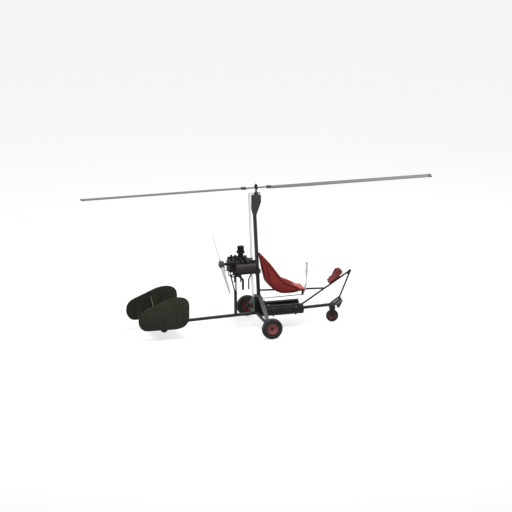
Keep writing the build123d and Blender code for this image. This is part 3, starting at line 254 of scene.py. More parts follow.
# one row per finish; zones: an axis, where a tone starts, where it is full, the tone
plain = {  # what a row leaves out; wear: radius and amount, depth: of the grain, in metres
    "bare": (0.20, 0.20, 0.20), "metal": 0.0, "specular": 0.12, "mottle": 3.0, "grain": 420.0,
    "stretch": (1, 1, 1), "depth": 0.00012, "wear": (0.004, 0.35), "dust": 0.10, "zones": [],
}
dustColour = (0.30, 0.29, 0.27)
zoneShare = 0.92
finishes = {
    "frame_grey": {"base": (0.031, 0.032, 0.034), "second": (0.046, 0.047, 0.049), "rough": (0.34, 0.48)},
    "tube_grey": {"base": (0.027, 0.028, 0.030), "second": (0.041, 0.042, 0.044), "rough": (0.32, 0.46)},
    "head_grey": {"base": (0.045, 0.045, 0.047), "second": (0.062, 0.062, 0.064), "rough": (0.36, 0.5)},
    "bracket_grey": {"base": (0.070, 0.070, 0.071), "second": (0.115, 0.115, 0.116), "rough": (0.36, 0.52),
                     "metal": 0.35, "bare": (0.42, 0.42, 0.42), "wear": (0.005, 0.6)},
    "control_black": {"base": (0.020, 0.020, 0.022), "second": (0.034, 0.034, 0.036), "rough": (0.32, 0.46)},
    "rod_alloy": {"base": (0.56, 0.56, 0.56), "second": (0.68, 0.68, 0.68), "rough": (0.28, 0.42),
                  "metal": 0.35, "stretch": (1, 1, 0.1), "bare": (0.6, 0.6, 0.6)},
    "fork_black": {"base": (0.012, 0.013, 0.014), "second": (0.022, 0.023, 0.024), "rough": (0.34, 0.5)},
    "rim_red": {"base": (0.28, 0.070, 0.066), "second": (0.37, 0.115, 0.108), "rough": (0.3, 0.46),
                "bare": (0.34, 0.30, 0.29), "dust": 0.08},
    "tank_black": {"base": (0.010, 0.010, 0.011), "second": (0.020, 0.020, 0.021), "rough": (0.26, 0.42)},
    "engine_grey": {"base": (0.010, 0.009, 0.009), "second": (0.026, 0.024, 0.023), "rough": (0.46, 0.64),
                    "metal": 0.15, "mottle": 9.0, "grain": 360.0, "depth": 0.0003,
                    "bare": (0.13, 0.12, 0.115), "wear": (0.003, 0.5), "dust": 0.05, "specular": 0.10},
    "cover_brown": {"base": (0.022, 0.020, 0.021), "second": (0.044, 0.039, 0.039), "rough": (0.38, 0.55),
                    "metal": 0.2, "mottle": 7.0, "bare": (0.16, 0.14, 0.13),
                    # painted highlight: two narrow lighter bands along the rocker covers
                    "zones": [("Z", 1.325, 1.331, (0.078, 0.060, 0.055)),
                              ("Z", 1.362, 1.372, (0.040, 0.035, 0.034))]},
    "filter_black": {"base": (0.006, 0.005, 0.005), "second": (0.013, 0.011, 0.010), "rough": (0.55, 0.7),
                     "mottle": 12.0, "dust": 0.03, "bare": (0.06, 0.05, 0.045), "specular": 0.08},
    "exhaust_black": {"base": (0.016, 0.015, 0.015), "second": (0.055, 0.042, 0.036), "rough": (0.5, 0.72),
                      "metal": 0.4, "mottle": 14.0, "bare": (0.24, 0.20, 0.18)},
    "strut_olive": {"base": (0.095, 0.092, 0.040), "second": (0.15, 0.145, 0.065), "rough": (0.42, 0.6)},
    "propeller_grey": {"base": (0.60, 0.60, 0.59), "second": (0.72, 0.72, 0.71), "rough": (0.3, 0.44),
                       "stretch": (1, 0.25, 1), "bare": (0.30, 0.28, 0.25),
                       "zones": [("X", -0.692, -0.686, (0.10, 0.10, 0.10)),
                                 ("shaft", 0.098, 0.082, (0.022, 0.021, 0.020))]},
    "gusset_grey": {"base": (0.040, 0.039, 0.038), "second": (0.070, 0.068, 0.066), "rough": (0.36, 0.52),
                    "metal": 0.25, "bare": (0.30, 0.30, 0.29)},
    "mixer_grey": {"base": (0.020, 0.020, 0.022), "second": (0.034, 0.034, 0.036), "rough": (0.30, 0.44),
                   "zones": [("X", 0.118, 0.124, (0.60, 0.60, 0.60))]},
    "steel_dark": {"base": (0.060, 0.058, 0.057), "second": (0.12, 0.115, 0.11), "rough": (0.3, 0.46),
                   "metal": 0.8, "bare": (0.4, 0.4, 0.4)},
    "blade_grey": {"base": (0.100, 0.101, 0.103), "second": (0.138, 0.139, 0.141), "rough": (0.34, 0.46),
                   "metal": 0.25, "stretch": (0.12, 1, 1), "bare": (0.42, 0.42, 0.42)},
    "bolt_dark": {"base": (0.060, 0.060, 0.060), "second": (0.10, 0.10, 0.096), "rough": (0.34, 0.48),
                  "metal": 0.5, "bare": (0.3, 0.3, 0.3), "wear": (0.001, 0.4)},
    "plate_pale": {"base": (0.26, 0.26, 0.26), "second": (0.38, 0.38, 0.38), "rough": (0.34, 0.5),
                   "metal": 0.3, "bare": (0.5, 0.5, 0.5), "wear": (0.002, 0.5)},
    "button_red": {"base": (0.45, 0.02, 0.015), "second": (0.55, 0.04, 0.03), "rough": (0.25, 0.35)},
    "grip_pale": {"base": (0.80, 0.79, 0.78), "second": (0.88, 0.87, 0.86), "rough": (0.45, 0.6),
                  "dust": 0.0},
}
# mast_grey: painted shade, the mast darker from 1.10 m down to 0.92 m
finishes["mast_grey"] = {**finishes["frame_grey"], "zones": [("Z", 1.10, 0.92, (0.017, 0.017, 0.018))]}
finishes["bar_grey"] = {**finishes["head_grey"], "zones": [("X", -0.052, -0.060, (0.55, 0.55, 0.55))]}


def placeGroup(tree, group, *values):
    node = addNode(tree, "Group", node_tree=group)
    for socket, value in zip(node.inputs, values):
        socket.default_value = value
    return node.outputs


def startFinish(name, *scales):
    material, tree, shader = startMaterial("finish_" + name)
    return material, tree, shader, placeGroup(tree, surfaceGrain, *scales)


def shareOf(tree, mask, share):
    return mathNode(tree, "MULTIPLY", mask, share)


def layered(tree, colour, look, masks):  # each named tone over the colour, by its mask and share
    for name, mask in masks.items():
        colour = mixColour(tree, shareOf(tree, mask, look[name + "Share"]), colour, look[name])
    return colour


def rubbed(tree, colour, look):  # the bare tone along the edges
    return mixColour(tree, placeGroup(tree, edgeWear, *look["wear"])["Mask"], colour, look["bare"])


def dusted(tree, colour, amount, tone):
    return mixColour(tree, placeGroup(tree, dustFilm, amount)["Mask"], colour, tone)


def dressShader(tree, shader, look, colour, mask, height):  # mask: from the lowest roughness to the highest
    bump = addNode(tree, "Bump", {"Strength": 1.0, "Distance": look["depth"], "Height": height})
    tree.links.new(colour, shader.inputs["Base Color"])
    tree.links.new(mapRange(tree, mask, 0, 1, *look["rough"]), shader.inputs["Roughness"])
    tree.links.new(bump.outputs[0], shader.inputs["Normal"])
    shader.inputs["Specular IOR Level"].default_value = look["specular"]


propellerShaft = (-0.745, 0.0, 1.329)  # the middle of its front face


def zoneMask(tree, axis, low, high):  # 0 to 1 along an axis of the piece, or inwards to the propeller's shaft
    if axis != "shaft":
        return mapRange(tree, placeAlong(tree, axis), low, high)
    offset = vectorNode(tree, "SUBTRACT", objectPlace(tree), propellerShaft)[0]
    flat = vectorNode(tree, "MULTIPLY", offset, (0, 1, 1))[0]
    return mapRange(tree, vectorNode(tree, "LENGTH", flat)["Value"], low, high)


def makeFinish(name):
    row = {**plain, **finishes[name]}
    material, tree, shader, grain = startFinish(name, row["mottle"], row["grain"], row["stretch"])
    toned = mixColour(tree, grain["Mottle"], row["base"], row["second"])
    for axis, low, high, tone in row["zones"]:
        toned = mixColour(tree, shareOf(tree, zoneMask(tree, axis, low, high), zoneShare), toned, tone)
    dusty = dusted(tree, rubbed(tree, toned, row), row["dust"], dustColour)
    shader.inputs["Metallic"].default_value = row["metal"]
    dressShader(tree, shader, row, dusty, grain["Mottle"], grain["Grain"])
    return material


tailLook = {
    # top, low, heights: painted shade, the olive lighter at the top and darker low down
    "top": (0.050, 0.055, 0.034), "low": (0.024, 0.026, 0.022), "heights": (0.25, 0.80),
    # inner, innerFrom: painted shade on the fins' inner faces, where they shade each other
    "stain": (0.018, 0.019, 0.015), "stainShare": 0.35, "inner": (0.012, 0.012, 0.010), "innerShare": 0.35,
    "innerFrom": (0.422, 0.414), "rust": (0.085, 0.056, 0.036), "rustShare": 0.55, "rustFrom": (0.70, 1.0),
    "binding": (0.014, 0.015, 0.011), "bindingShare": 0.55, "bare": (0.16, 0.16, 0.145), "wear": (0.006, 0.5),
    "rough": (0.42, 0.62), "specular": 0.1, "depth": 0.0003,
    "grain": (4.0, 150.0, (1, 1, 0.6)), "runs": (3.4, 30.0, (7.0, 1, 0.55)),
}


def makeTailPaint():  # olive paint with painted shade: darker downwards and on the fins' inner faces, with thin brown runs
    look = tailLook
    material, tree, shader, grain = startFinish("tail_olive", *look["grain"])
    runs = mapRange(tree, placeGroup(tree, surfaceGrain, *look["runs"])["Mottle"], *look["rustFrom"])
    # painted shade: the olive darker towards the bottom
    green = mixColour(tree, mapRange(tree, placeAlong(tree, "Z"), *look["heights"]), look["low"], look["top"])
    # painted shade on the inner faces of the fins
    inner = mapRange(tree, mathNode(tree, "ABSOLUTE", placeAlong(tree, "Y")), *look["innerFrom"])
    masks = {"stain": grain["Mottle"], "inner": inner, "rust": runs, "binding": markOf(tree, "binding")}
    colour = rubbed(tree, layered(tree, green, look, masks), look)
    dressShader(tree, shader, look, colour, grain["Mottle"], grain["Grain"])
    return material


seatLook = {
    "base": (0.212, 0.025, 0.022), "second": (0.275, 0.038, 0.033), "grain": (3.5, 40.0, (1, 1, 1)),
    # painted shade: the seat darker towards the bottom, from 0.765 m down to 0.69 m
    "paintedUnderShade": (0.045, 0.008, 0.008), "paintedUnderShadeShare": 0.55, "paintedUnderShadeFrom": (0.765, 0.690),
    # the inside skin's tone is painted light: lighter where light falls into the tub
    # welt tone: painted highlight on the rolled edge along the rim
    "paintedLitInside": (0.72, 0.21, 0.19), "paintedLitInsideShare": 0.90, "welt": (0.30, 0.060, 0.055), "weltShare": 0.40,
    # seam tone: dark stitch lines, widened with painted crease shade
    "seam": (0.022, 0.004, 0.004), "seamShare": 0.95, "dust": (0.36, 0.20, 0.18), "dustAmount": 0.08,
    "rough": (0.52, 0.66), "specular": 0.08, "hide": 420.0, "depth": 0.0005,
}


def makeSeatCover():  # red vinyl with a leather grain; dark in its seams, widened with painted crease shade; painted highlight on the rolled edge, painted light inside and painted shade towards the bottom
    look = seatLook
    material, tree, shader, grain = startFinish("seat_red", *look["grain"])
    hide = addNode(tree, "TexVoronoi", {"Vector": objectPlace(tree), "Scale": look["hide"]})
    colour = mixColour(tree, grain["Mottle"], look["base"], look["second"])
    # painted shade towards the bottom of the seat
    masks = {"paintedUnderShade": zoneMask(tree, "Z", *look["paintedUnderShadeFrom"])}
    for name in ("paintedLitInside", "welt", "seam"):
        masks[name] = markOf(tree, name)
    colour = dusted(tree, layered(tree, colour, look, masks), look["dustAmount"], look["dust"])
    dressShader(tree, shader, look, colour, grain["Grain"], hide.outputs["Distance"])
    return material


noseLine = {"foot": (1.44, 0.766), "rise": 0.617}  # the nose tube's slope under the pedals
pedalLook = {
    "foldLitAndShaded": [  # place across the folds, colour; painted light and shade over the folds
        (0.0, (0.34, 0.036, 0.030)), (0.325, (0.34, 0.040, 0.034)), (0.335, (0.045, 0.009, 0.009)),
        (0.350, (0.27, 0.066, 0.060)), (0.485, (0.20, 0.036, 0.032)), (0.51, (0.27, 0.072, 0.066)),
        (0.66, (0.17, 0.028, 0.026)), (1.0, (0.15, 0.024, 0.022))],
    "folds": (-0.03, 0.20), "grain": (6.0, 140.0, (1, 1, 1)),
    "bare": (0.40, 0.17, 0.16), "wear": (0.004, 0.4), "rough": (0.32, 0.5), "specular": 0.15, "depth": 0.0002,
}


def makePedalPaint():  # red enamel, painted lighter and darker in stripes as painted light and shade over three folds that run along the nose tube
    look = pedalLook
    material, tree, shader, grain = startFinish("pedal_red", *look["grain"])
    footX, footZ = noseLine["foot"]
    rise = noseLine["rise"]
    line = mathNode(tree, "MULTIPLY_ADD", placeAlong(tree, "X"), -rise, rise * footX - footZ)
    above = mathNode(tree, "ADD", line, placeAlong(tree, "Z"))
    ramp = addNode(tree, "ValToRGB", {0: mapRange(tree, above, *look["folds"])})
    stops = ramp.color_ramp.elements
    for index, (place, tone) in enumerate(look["foldLitAndShaded"]):
        stop = stops[index] if index < 2 else stops.new(place)
        stop.position = place
        stop.color = tone + (1,)
    colour = rubbed(tree, ramp.outputs[0], look)
    dressShader(tree, shader, look, colour, grain["Mottle"], grain["Grain"])
    return material


tyreLook = {
    "base": (0.024, 0.024, 0.025), "second": (0.056, 0.053, 0.050), "dust": (0.20, 0.185, 0.165),
    "dustShare": 0.55, "grain": (7.0, 260.0, (1, 1, 1)), "rough": (0.55, 0.8), "specular": 0.1,
    "depth": 0.0004,
}


def makeRubber():  # black rubber, dusty on the tread
    look = tyreLook
    material, tree, shader, grain = startFinish("tyre_black", *look["grain"])
    toned = mixColour(tree, grain["Mottle"], look["base"], look["second"])
    film = shareOf(tree, grain["Mottle"], look["dustShare"])
    dusty = mathNode(tree, "MULTIPLY", markOf(tree, "tread"), film)
    colour = mixColour(tree, dusty, toned, look["dust"])
    dressShader(tree, shader, look, colour, grain["Mottle"], grain["Grain"])
    return material


materials = {name: makeFinish(name) for name in finishes}
materials["tail_olive"] = makeTailPaint()
materials["seat_red"] = makeSeatCover()
materials["pedal_red"] = makePedalPaint()
materials["tyre_black"] = makeRubber()
nodeFinish = {  # nodes whose finish isn't their slot's
    "mast_tube": "mast_grey", "control_mixer": "mixer_grey", "nose_gussets": "gusset_grey",
    "torque_bar": "bar_grey", "root_straps": "head_grey", "control_stick": "grip_pale",
    "push_rods": "rod_alloy", "rod_yoke": "rod_alloy",
    "mast_clamp": "fork_black", "mast_foot_web": "fork_black", "engine_bearers": "fork_black",
    "rotor_tower": "fork_black", "main_axles": "fork_black",
}


def dressNode(name, node):
    material = materials[nodeFinish.get(name, slotOfNode[name])]
    if not node.material_slots:
        node.data.materials.append(material)
    for slot in node.material_slots:
        slot.material = material


for nodeName, node in nodes.items():
    dressNode(nodeName, node)
print("finishes made:", len(materials))


# modelling helpers
def clearSelection():
    if bpy.context.object and bpy.context.object.mode != "OBJECT":
        bpy.ops.object.mode_set(mode="OBJECT")
    bpy.ops.object.select_all(action="DESELECT")


def pickFaces(piece, test):  # leaves the piece in edit mode with the faces that pass selected
    bpy.ops.object.mode_set(mode="OBJECT")
    for vertex in piece.data.vertices:
        vertex.select = False
    for edge in piece.data.edges:
        edge.select = False
    for face in piece.data.polygons:
        face.select = test(face)
    bpy.ops.object.mode_set(mode="EDIT")


def turnTo(axis):
    return Vector((0, 0, 1)).rotation_difference(Vector(axis)).to_matrix().to_4x4()


def drawnOut(place, axis, profile, sides, closed):  # a circle drawn out through the rings of a profile
    clearSelection()
    radius, height = profile[0]
    fill = "NOTHING" if closed else "NGON"
    bpy.ops.mesh.primitive_circle_add(vertices=sides, radius=radius, fill_type=fill, location=(0, 0, 0))
    piece = bpy.context.object
    bpy.ops.object.mode_set(mode="EDIT")
    bpy.ops.mesh.select_all(action="SELECT")
    bpy.ops.transform.translate(value=(0, 0, height))
    extrude = bpy.ops.mesh.extrude_edges_move if closed else bpy.ops.mesh.extrude_region_move
    for nextRadius, nextHeight in profile[1:]:
        extrude(TRANSFORM_OT_translate={"value": (0, 0, nextHeight - height)})
        ratio = nextRadius / radius
        bpy.ops.transform.resize(value=(ratio, ratio, 1), center_override=(0, 0, nextHeight))
        radius, height = nextRadius, nextHeight
    bpy.ops.mesh.select_all(action="SELECT")
    if closed:
        bpy.ops.mesh.remove_doubles(threshold=1e-6)
    bpy.ops.mesh.normals_make_consistent(inside=False)
    bpy.ops.object.mode_set(mode="OBJECT")
    piece.data.transform(Matrix.Translation(place) @ turnTo(axis))
    return piece


def turnedPiece(place, axis, profile, sides=64):  # profile: radius and height of each ring, from foot to top
    return drawnOut(place, axis, profile, sides, False)


def ringPiece(place, axis, profile, sides=72):  # a closed ring, its section given in the same way
    return drawnOut(place, axis, profile + profile[:1], sides, True)


def band(radius, thickness, low, high):  # section of a flat ring round something of that radius
    return [(radius, low), (radius + thickness, low), (radius + thickness, high), (radius, high)]


def selectOnly(piece):
    clearSelection()
    piece.select_set(True)
    bpy.context.view_layer.objects.active = piece


def applyModifier(piece, name):
    selectOnly(piece)
    bpy.ops.object.modifier_apply(modifier=name)


def placeCopy(source, place, axis=(0, 0, 1), size=1.0):
    piece = source.copy()
    piece.data = source.data.copy()
    scene.collection.objects.link(piece)
    piece.data.transform(Matrix.Translation(place) @ turnTo(axis) @ Matrix.Scale(size, 4))
    return piece


def joined(pieces):
    clearSelection()
    for piece in pieces:
        piece.select_set(True)
    bpy.context.view_layer.objects.active = pieces[0]
    if len(pieces) > 1:
        bpy.ops.object.join()
    return bpy.context.object


def finishPiece(piece, name, body, finish, smooth=35):
    piece.name = name
    piece.data.name = name
    selectOnly(piece)
    bpy.ops.object.shade_smooth_by_angle(angle=math.radians(smooth))
    piece.data.materials.clear()
    piece.data.materials.append(materials[finish])
    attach(piece, body)
    return piece


def middleOf(nodeName):
    low, high = (Vector(corner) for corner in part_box(nodeName))
    return (low + high) / 2, high - low


# tyres: a rounded section spun about the axle, with grooves between the tread ribs
tyreShape = {
    "wheels": [  # node, body, rim's share of the radius
        ("main_tyre_left", "wheel_left", 0.1016 / 0.205), ("main_tyre_right", "wheel_right", 0.1016 / 0.205),
        ("nose_tyre", "nose_wheel", 0.062 / 0.12)],
    "steps": 96, "outerRound": 0.30, "roundSteps": 7, "bead": 0.78, "ribs": 6, "grooveDepth": 0.0045,
    "crown": 0.9985, "shoulder": (0.945, 0.993), "shoulderDepth": 0.6,  # shares of the radius, of the groove
    "dustFrom": 0.9, "dustOver": 0.08,
}


def reachOf(place):
    return math.hypot(place.x, place.z)


def pressIn(depth):  # sinks the selected faces and leaves edit mode
    bpy.ops.mesh.extrude_region_shrink_fatten(
        TRANSFORM_OT_shrink_fatten={"value": -depth, "use_even_offset": False})
    bpy.ops.object.mode_set(mode="OBJECT")


def spinSection(radius, width, rimRadius):
    rise = radius - rimRadius
    clearSelection()
    bpy.ops.mesh.primitive_plane_add(size=1, location=(0, 0, 0))
    tyre = bpy.context.object
    section = Matrix.Translation((rimRadius + rise / 2, 0, 0)) @ Matrix.Diagonal((rise, width, 1, 1))
    tyre.data.transform(section)
    bpy.ops.object.mode_set(mode="EDIT")
    mesh = bmesh.from_edit_mesh(tyre.data)
    for corner in mesh.verts:  # bead corners pulled in to the rim's width
        corner.select = corner.co.x > rimRadius + rise / 2
        if not corner.select:
            corner.co.y *= tyreShape["bead"]
    bmesh.update_edit_mesh(tyre.data)
    scene.tool_settings.mesh_select_mode = (True, False, False)
    bpy.ops.mesh.bevel(offset=rise * tyreShape["outerRound"], segments=tyreShape["roundSteps"],
                       affect="VERTICES", clamp_overlap=True)
    scene.tool_settings.mesh_select_mode = (False, False, True)
    mesh = bmesh.from_edit_mesh(tyre.data)
    crown = [edge for edge in mesh.edges if all(corner.co.x > radius - 1e-4 for corner in edge.verts)]
    bmesh.ops.subdivide_edges(mesh, edges=crown, cuts=2 * tyreShape["ribs"] - 2)
    bmesh.ops.delete(mesh, geom=list(mesh.faces), context="FACES_ONLY")
    bmesh.update_edit_mesh(tyre.data)
    bpy.ops.mesh.select_all(action="SELECT")
    bpy.ops.mesh.spin(steps=tyreShape["steps"], angle=2 * math.pi, center=(0, 0, 0), axis=(0, 1, 0))
    bpy.ops.mesh.select_all(action="SELECT")
    bpy.ops.mesh.remove_doubles(threshold=1e-5)
    bpy.ops.mesh.normals_make_consistent(inside=False)
    bpy.ops.object.mode_set(mode="OBJECT")
    return tyre


def cutTread(tyre, radius):
    step = 2 * math.pi / tyreShape["steps"]
    low, high = (share * radius for share in tyreShape["shoulder"])

    def onCrown(face):
        return reachOf(face.center) > radius * tyreShape["crown"]

    def onShoulder(face):  # every second face of the two shoulder rows
        turn = round((math.atan2(face.center.z, face.center.x) + math.pi) / step - 0.5)
        return low < reachOf(face.center) < high and turn % 2 == 0 and abs(face.normal.y) > 0.2

    rows = sorted({round(face.center.y, 5) for face in tyre.data.polygons if onCrown(face)})
    grooves = set(rows[1::2])
    pickFaces(tyre, lambda face: round(face.center.y, 5) in grooves and onCrown(face))
    pressIn(tyreShape["grooveDepth"])
    pickFaces(tyre, onShoulder)
    pressIn(tyreShape["shoulderDepth"] * tyreShape["grooveDepth"])


def makeTyre(nodeName, body, rimShare):
    centre, size = middleOf(nodeName)
    radius = size.z / 2
    tyre = spinSection(radius, size.y, radius * rimShare)
    cutTread(tyre, radius)
    tread = tyre.data.attributes.new("tread", "FLOAT", "POINT")
    for index, vertex in enumerate(tyre.data.vertices):
        share = (reachOf(vertex.co) / radius - tyreShape["dustFrom"]) / tyreShape["dustOver"]
        tread.data[index].value = min(1, max(0, share))
    tyre.data.transform(Matrix.Translation(centre))
    finishPiece(tyre, nodeName + "Rubber", body, "tyre_black", 30)
    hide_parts(nodeName)


for nodeName, body, rimShare in tyreShape["wheels"]:
    makeTyre(nodeName, body, rimShare)
print("tyres made")


# bolts and screws: each modelled once and copied
fastenerShapes = {  # sides, then radius and height of each ring
    "washer": (20, [(0.0095, 0), (0.0095, 0.0014), (0.009, 0.0018)]),
    "head": (6, [(0.007, 0.0018), (0.007, 0.0062), (0.0062, 0.0070)]),
    "tip": (12, [(0.0036, 0.0070), (0.0036, 0.0098), (0.0030, 0.0104)]),
    "socketHead": (18, [(0.0055, 0), (0.0055, 0.0042), (0.0050, 0.0048), (0.0028, 0.0048), (0.0026, 0.0022)]),
}
rotorYaw = math.radians(-1.69)
filterPlace = (-0.312, 0.0, 1.573)
wheelMiddle = (0.072, 0.858, 0.205)


def makeFastener(*names):
    parts = []
    for name in names:
        sides, profile = fastenerShapes[name]
        parts.append(turnedPiece((0, 0, 0), (0, 0, 1), profile, sides))
    return joined(parts)


def circle(radius, count, start=0.0):  # places round a circle
    turns = [start + 2 * math.pi * index / count for index in range(count)]
    return [(radius * math.cos(turn), radius * math.sin(turn)) for turn in turns]


def onRotor(along, across, height):  # a place on the rotor as it stands
    turned = Matrix.Rotation(rotorYaw, 3, "Z") @ Vector((along, across, 0))
    return turned.x, turned.y, height


def atWheel(side, along=0.0, out=0.0, up=0.0):  # a place measured from the middle of a main wheel
    x, y, z = wheelMiddle
    return x + along, side * (y + out), z + up


hexBolts = {  # body: rows of x, half width, height, size, on both sides of the craft
    "airframe": [
        (1.503, 0.029, 0.3425, 1.0), (1.618, 0.029, 0.346, 1.0), (1.655, 0.029, 0.300, 1.0),
        (0.045, 0.031, 0.297, 1.0), (0.080, 0.031, 0.299, 1.0), (0.063, 0.031, 0.400, 1.0),
        (0.060, 0.031, 0.470, 1.0), (0.057, 0.031, 0.540, 1.0), (-0.031, 0.031, 2.325, 0.9),
        (-0.036, 0.031, 2.430, 0.9), (-0.042, 0.031, 2.550, 0.9), (0.050, 0.031, 2.575, 0.9),
        (0.000, 0.031, 2.640, 1.5), (0.020, 0.031, 1.215, 1.0), (0.035, 0.031, 1.078, 1.0),
        (0.030, 0.093, 1.145, 1.1), (-0.390, 0.093, 1.145, 1.0), (-0.120, 0.093, 1.145, 1.0),
        (-0.420, 0.025, 0.288, 0.9), (-0.398, 0.025, 0.288, 0.9), (-0.425, 0.025, 0.740, 0.9),
        (-1.885, 0.029, 0.252, 0.9), (-1.825, 0.029, 0.252, 0.9), (-1.855, 0.030, 0.128, 1.1),
        (0.860, 0.0175, 0.372, 0.8), (1.385, 0.0175, 0.690, 0.8), (0.100, 0.0175, 0.747, 0.8),
        (0.042, 0.772, 0.228, 1.2), (0.102, 0.772, 0.228, 1.2)],
    "nose_fork": [(1.537, 0.051, 0.120, 1.3)],
}
rearBolts = ((0.078, 1.22), (0.088, 1.30), (0.070, 1.375))  # half width, height on the engine's rear
sideScrews = ((-0.46, 1.245), (-0.30, 1.235), (-0.14, 1.245))  # x, height on the engine's sides
shaftX, shaftZ = propellerShaft[::2]
filterX, filterZ = filterPlace[::2]
turnedBolts = {  # body: rows of place, axis and size
    "airframe": [((0.0665, side * 0.072, 1.145), (1, 0, 0), 1.1) for side in bothSides]
    + [((-0.567, side * y, z), (-1, 0, 0), 0.9) for side in bothSides for y, z in rearBolts],
    "nose_fork": [((1.537, 0, 0.3905), (0, 0, 1), 1.5)],
    "torque_head": [((x, y, 2.714), (0, 0, 1), 0.8) for x in (-0.045, 0.045) for y in (-0.017, 0.017)],
    "propeller": [((shaftX, y, shaftZ + z), (-1, 0, 0), 0.95) for y, z in circle(0.040, 6)]
    + [(propellerShaft, (-1, 0, 0), 1.6)],
    "rotor": [(onRotor(end * x, 0, height), (0, 0, 1), size)
              for height, size, places in ((2.8425, 1.25, (0.225, 0.280)), (2.829, 1.0, (0.085, 0.150)))
              for end in bothSides for x in places],
    "rotor_tower": [(onRotor(0, side * 0.029, 2.840), (0, side, 0), 1.4) for side in bothSides],
}
screws = {  # rows of place, axis and size
    "airframe": [((x, side * 0.333, z), (0, side, 0), 1.1) for side in bothSides for x, z in sideScrews]
    + [((x, y, 1.4125), (0, 0, 1), 1.0) for x in (-0.49, -0.40, -0.21) for y in (-0.06, 0.06)]
    + [((filterX + x, y, filterZ - 0.004), (0, 0, 1), 0.9) for x, y in circle(0.070, 4, math.pi / 4)],
}
for side, name in sideNames.items():
    screws["wheel_" + name] = [(atWheel(side, x, 0.0125, z), (0, side, 0), 1.2) for x, z in circle(0.05, 5)]


def placeFasteners(model, rows, name, body, finish):
    copies = [placeCopy(model, place, axis, size) for place, axis, size in rows]
    finishPiece(joined(copies), name, body, finish, 25)


hexBolt = makeFastener("washer", "head", "tip")
capScrew = makeFastener("socketHead")
for body in sorted(set(hexBolts) | set(turnedBolts)):
    rows = list(turnedBolts.get(body, []))
    for x, halfWidth, height, size in hexBolts.get(body, []):
        rows += [((x, side * halfWidth, height), (0, side, 0), size) for side in bothSides]
    placeFasteners(hexBolt, rows, body + "Bolts", body, "bolt_dark")
for body, rows in screws.items():
    placeFasteners(capScrew, rows, body + "Screws", body, "bolt_dark")
for model in (hexBolt, capScrew):
    bpy.data.objects.remove(model)
print("fasteners placed")


def smoothRows(rows, between):  # points between the stations on a smooth curve
    result = []
    for index in range(len(rows) - 1):
        near = [rows[max(0, index - 1)], rows[index], rows[index + 1], rows[min(len(rows) - 1, index + 2)]]
        for step in range(between):
            t = step / between
            result.append([0.5 * (2 * b + (c - a) * t + (2 * a - 5 * b + 4 * c - d) * t * t
                                  + (3 * b - a - 3 * c + d) * t ** 3) for a, b, c, d in zip(*near)])
    result.append(list(rows[-1]))
    return result


# flat plates cut to a side outline, thickened and bevelled
def platePiece(outline, near, far, edge=0.0008):
    clearSelection()
    bpy.ops.mesh.primitive_circle_add(vertices=len(outline), radius=1, fill_type="NGON", location=(0, 0, 0))
    piece = bpy.context.object
    for vertex, (x, height) in zip(piece.data.vertices, outline):
        vertex.co = (x, near, height)
    bpy.ops.object.mode_set(mode="EDIT")
    bpy.ops.mesh.select_all(action="SELECT")
    bpy.ops.mesh.extrude_region_move(TRANSFORM_OT_translate={"value": (0, far - near, 0)})
    bpy.ops.mesh.select_all(action="SELECT")
    bpy.ops.mesh.normals_make_consistent(inside=False)
    bpy.ops.mesh.bevel(offset=edge, segments=2, affect="EDGES", clamp_overlap=True)
    bpy.ops.object.mode_set(mode="OBJECT")
    return piece


def sidePlate(outline, side, faces, edge=0.0008):
    near, far = faces
    return platePiece(outline, side * near, side * far, edge)


# wheels: rim rings, valves and axle caps
wheelTrim = {
    "bead": [(0.0925, 0.0365), (0.0985, 0.0365), (0.1020, 0.0395), (0.1016, 0.0425), (0.0985, 0.0430),
             (0.0935, 0.0395)],
    "step": [(0.062, 0.0120), (0.066, 0.0175), (0.069, 0.0180), (0.070, 0.0150)],
    "cap": [(0.0235, 0.0), (0.0235, 0.009), (0.0215, 0.0130), (0.0120, 0.0148)], "capOut": 0.0085,
    "valve": [(0.0055, 0), (0.0055, 0.012), (0.0040, 0.014), (0.0040, 0.024), (0.0030, 0.026)],
    "valveFoot": (0.074, 0.0215, 0.030), "valveLean": -0.35,
}


def makeWheelTrim(side, name):
    body = "wheel_" + name
    outward = (0, side, 0)
    rings = [ringPiece(atWheel(side), outward, wheelTrim[part], 96) for part in ("bead", "step")]
    finishPiece(joined(rings), "rimRings_" + name, body, "rim_red")
    foot = atWheel(side, *wheelTrim["valveFoot"])
    valve = turnedPiece(foot, (wheelTrim["valveLean"], side, 0), wheelTrim["valve"], 14)
    finishPiece(valve, "valve_" + name, body, "control_black")
    cap = turnedPiece(atWheel(side, out=wheelTrim["capOut"]), outward, wheelTrim["cap"], 32)
    finishPiece(cap, "axleCap_" + name, "airframe", "fork_black")


for side, name in sideNames.items():
    makeWheelTrim(side, name)

canister = {  # rings: radius and height over the filter's place
    "dish": [(0.0635, 0.0), (0.0675, 0.002), (0.0675, 0.010), (0.0610, 0.012)],
    "ribs": 9, "pleated": (0.012, 0.078),
    "pleat": [(0.0645, 0.35), (0.0645, 0.6), (0.0610, 1.0)],  # radius, share of the rib's height
    "lid": [(0.0675, 0.0800), (0.0675, 0.0900), (0.0615, 0.0935), (0.040, 0.0940), (0.036, 0.0965),
            (0.010, 0.0965)],
    "nut": [(0.007, 0.0955), (0.007, 0.0995), (0.004, 0.1007)],
}


def makeCanister():  # air filter: base dish, pleated body and pressed lid with a nut
    low, high = canister["pleated"]
    pitch = (high - low) / canister["ribs"]
    pleats = [(radius, low + (rib + share) * pitch)
              for rib in range(canister["ribs"]) for radius, share in canister["pleat"]]
    body = turnedPiece(filterPlace, (0, 0, 1), canister["dish"] + pleats + canister["lid"], 72)
    nut = turnedPiece(filterPlace, (0, 0, 1), canister["nut"], 6)
    parts = joined([body, nut])
    filterPiece = finishPiece(parts, "airCanister", "airframe", "filter_black", 30)
    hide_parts("air_filter")


makeCanister()


def grown(profile, radius):  # a profile whose radii are given over another
    return [(radius + more, height) for more, height in profile]


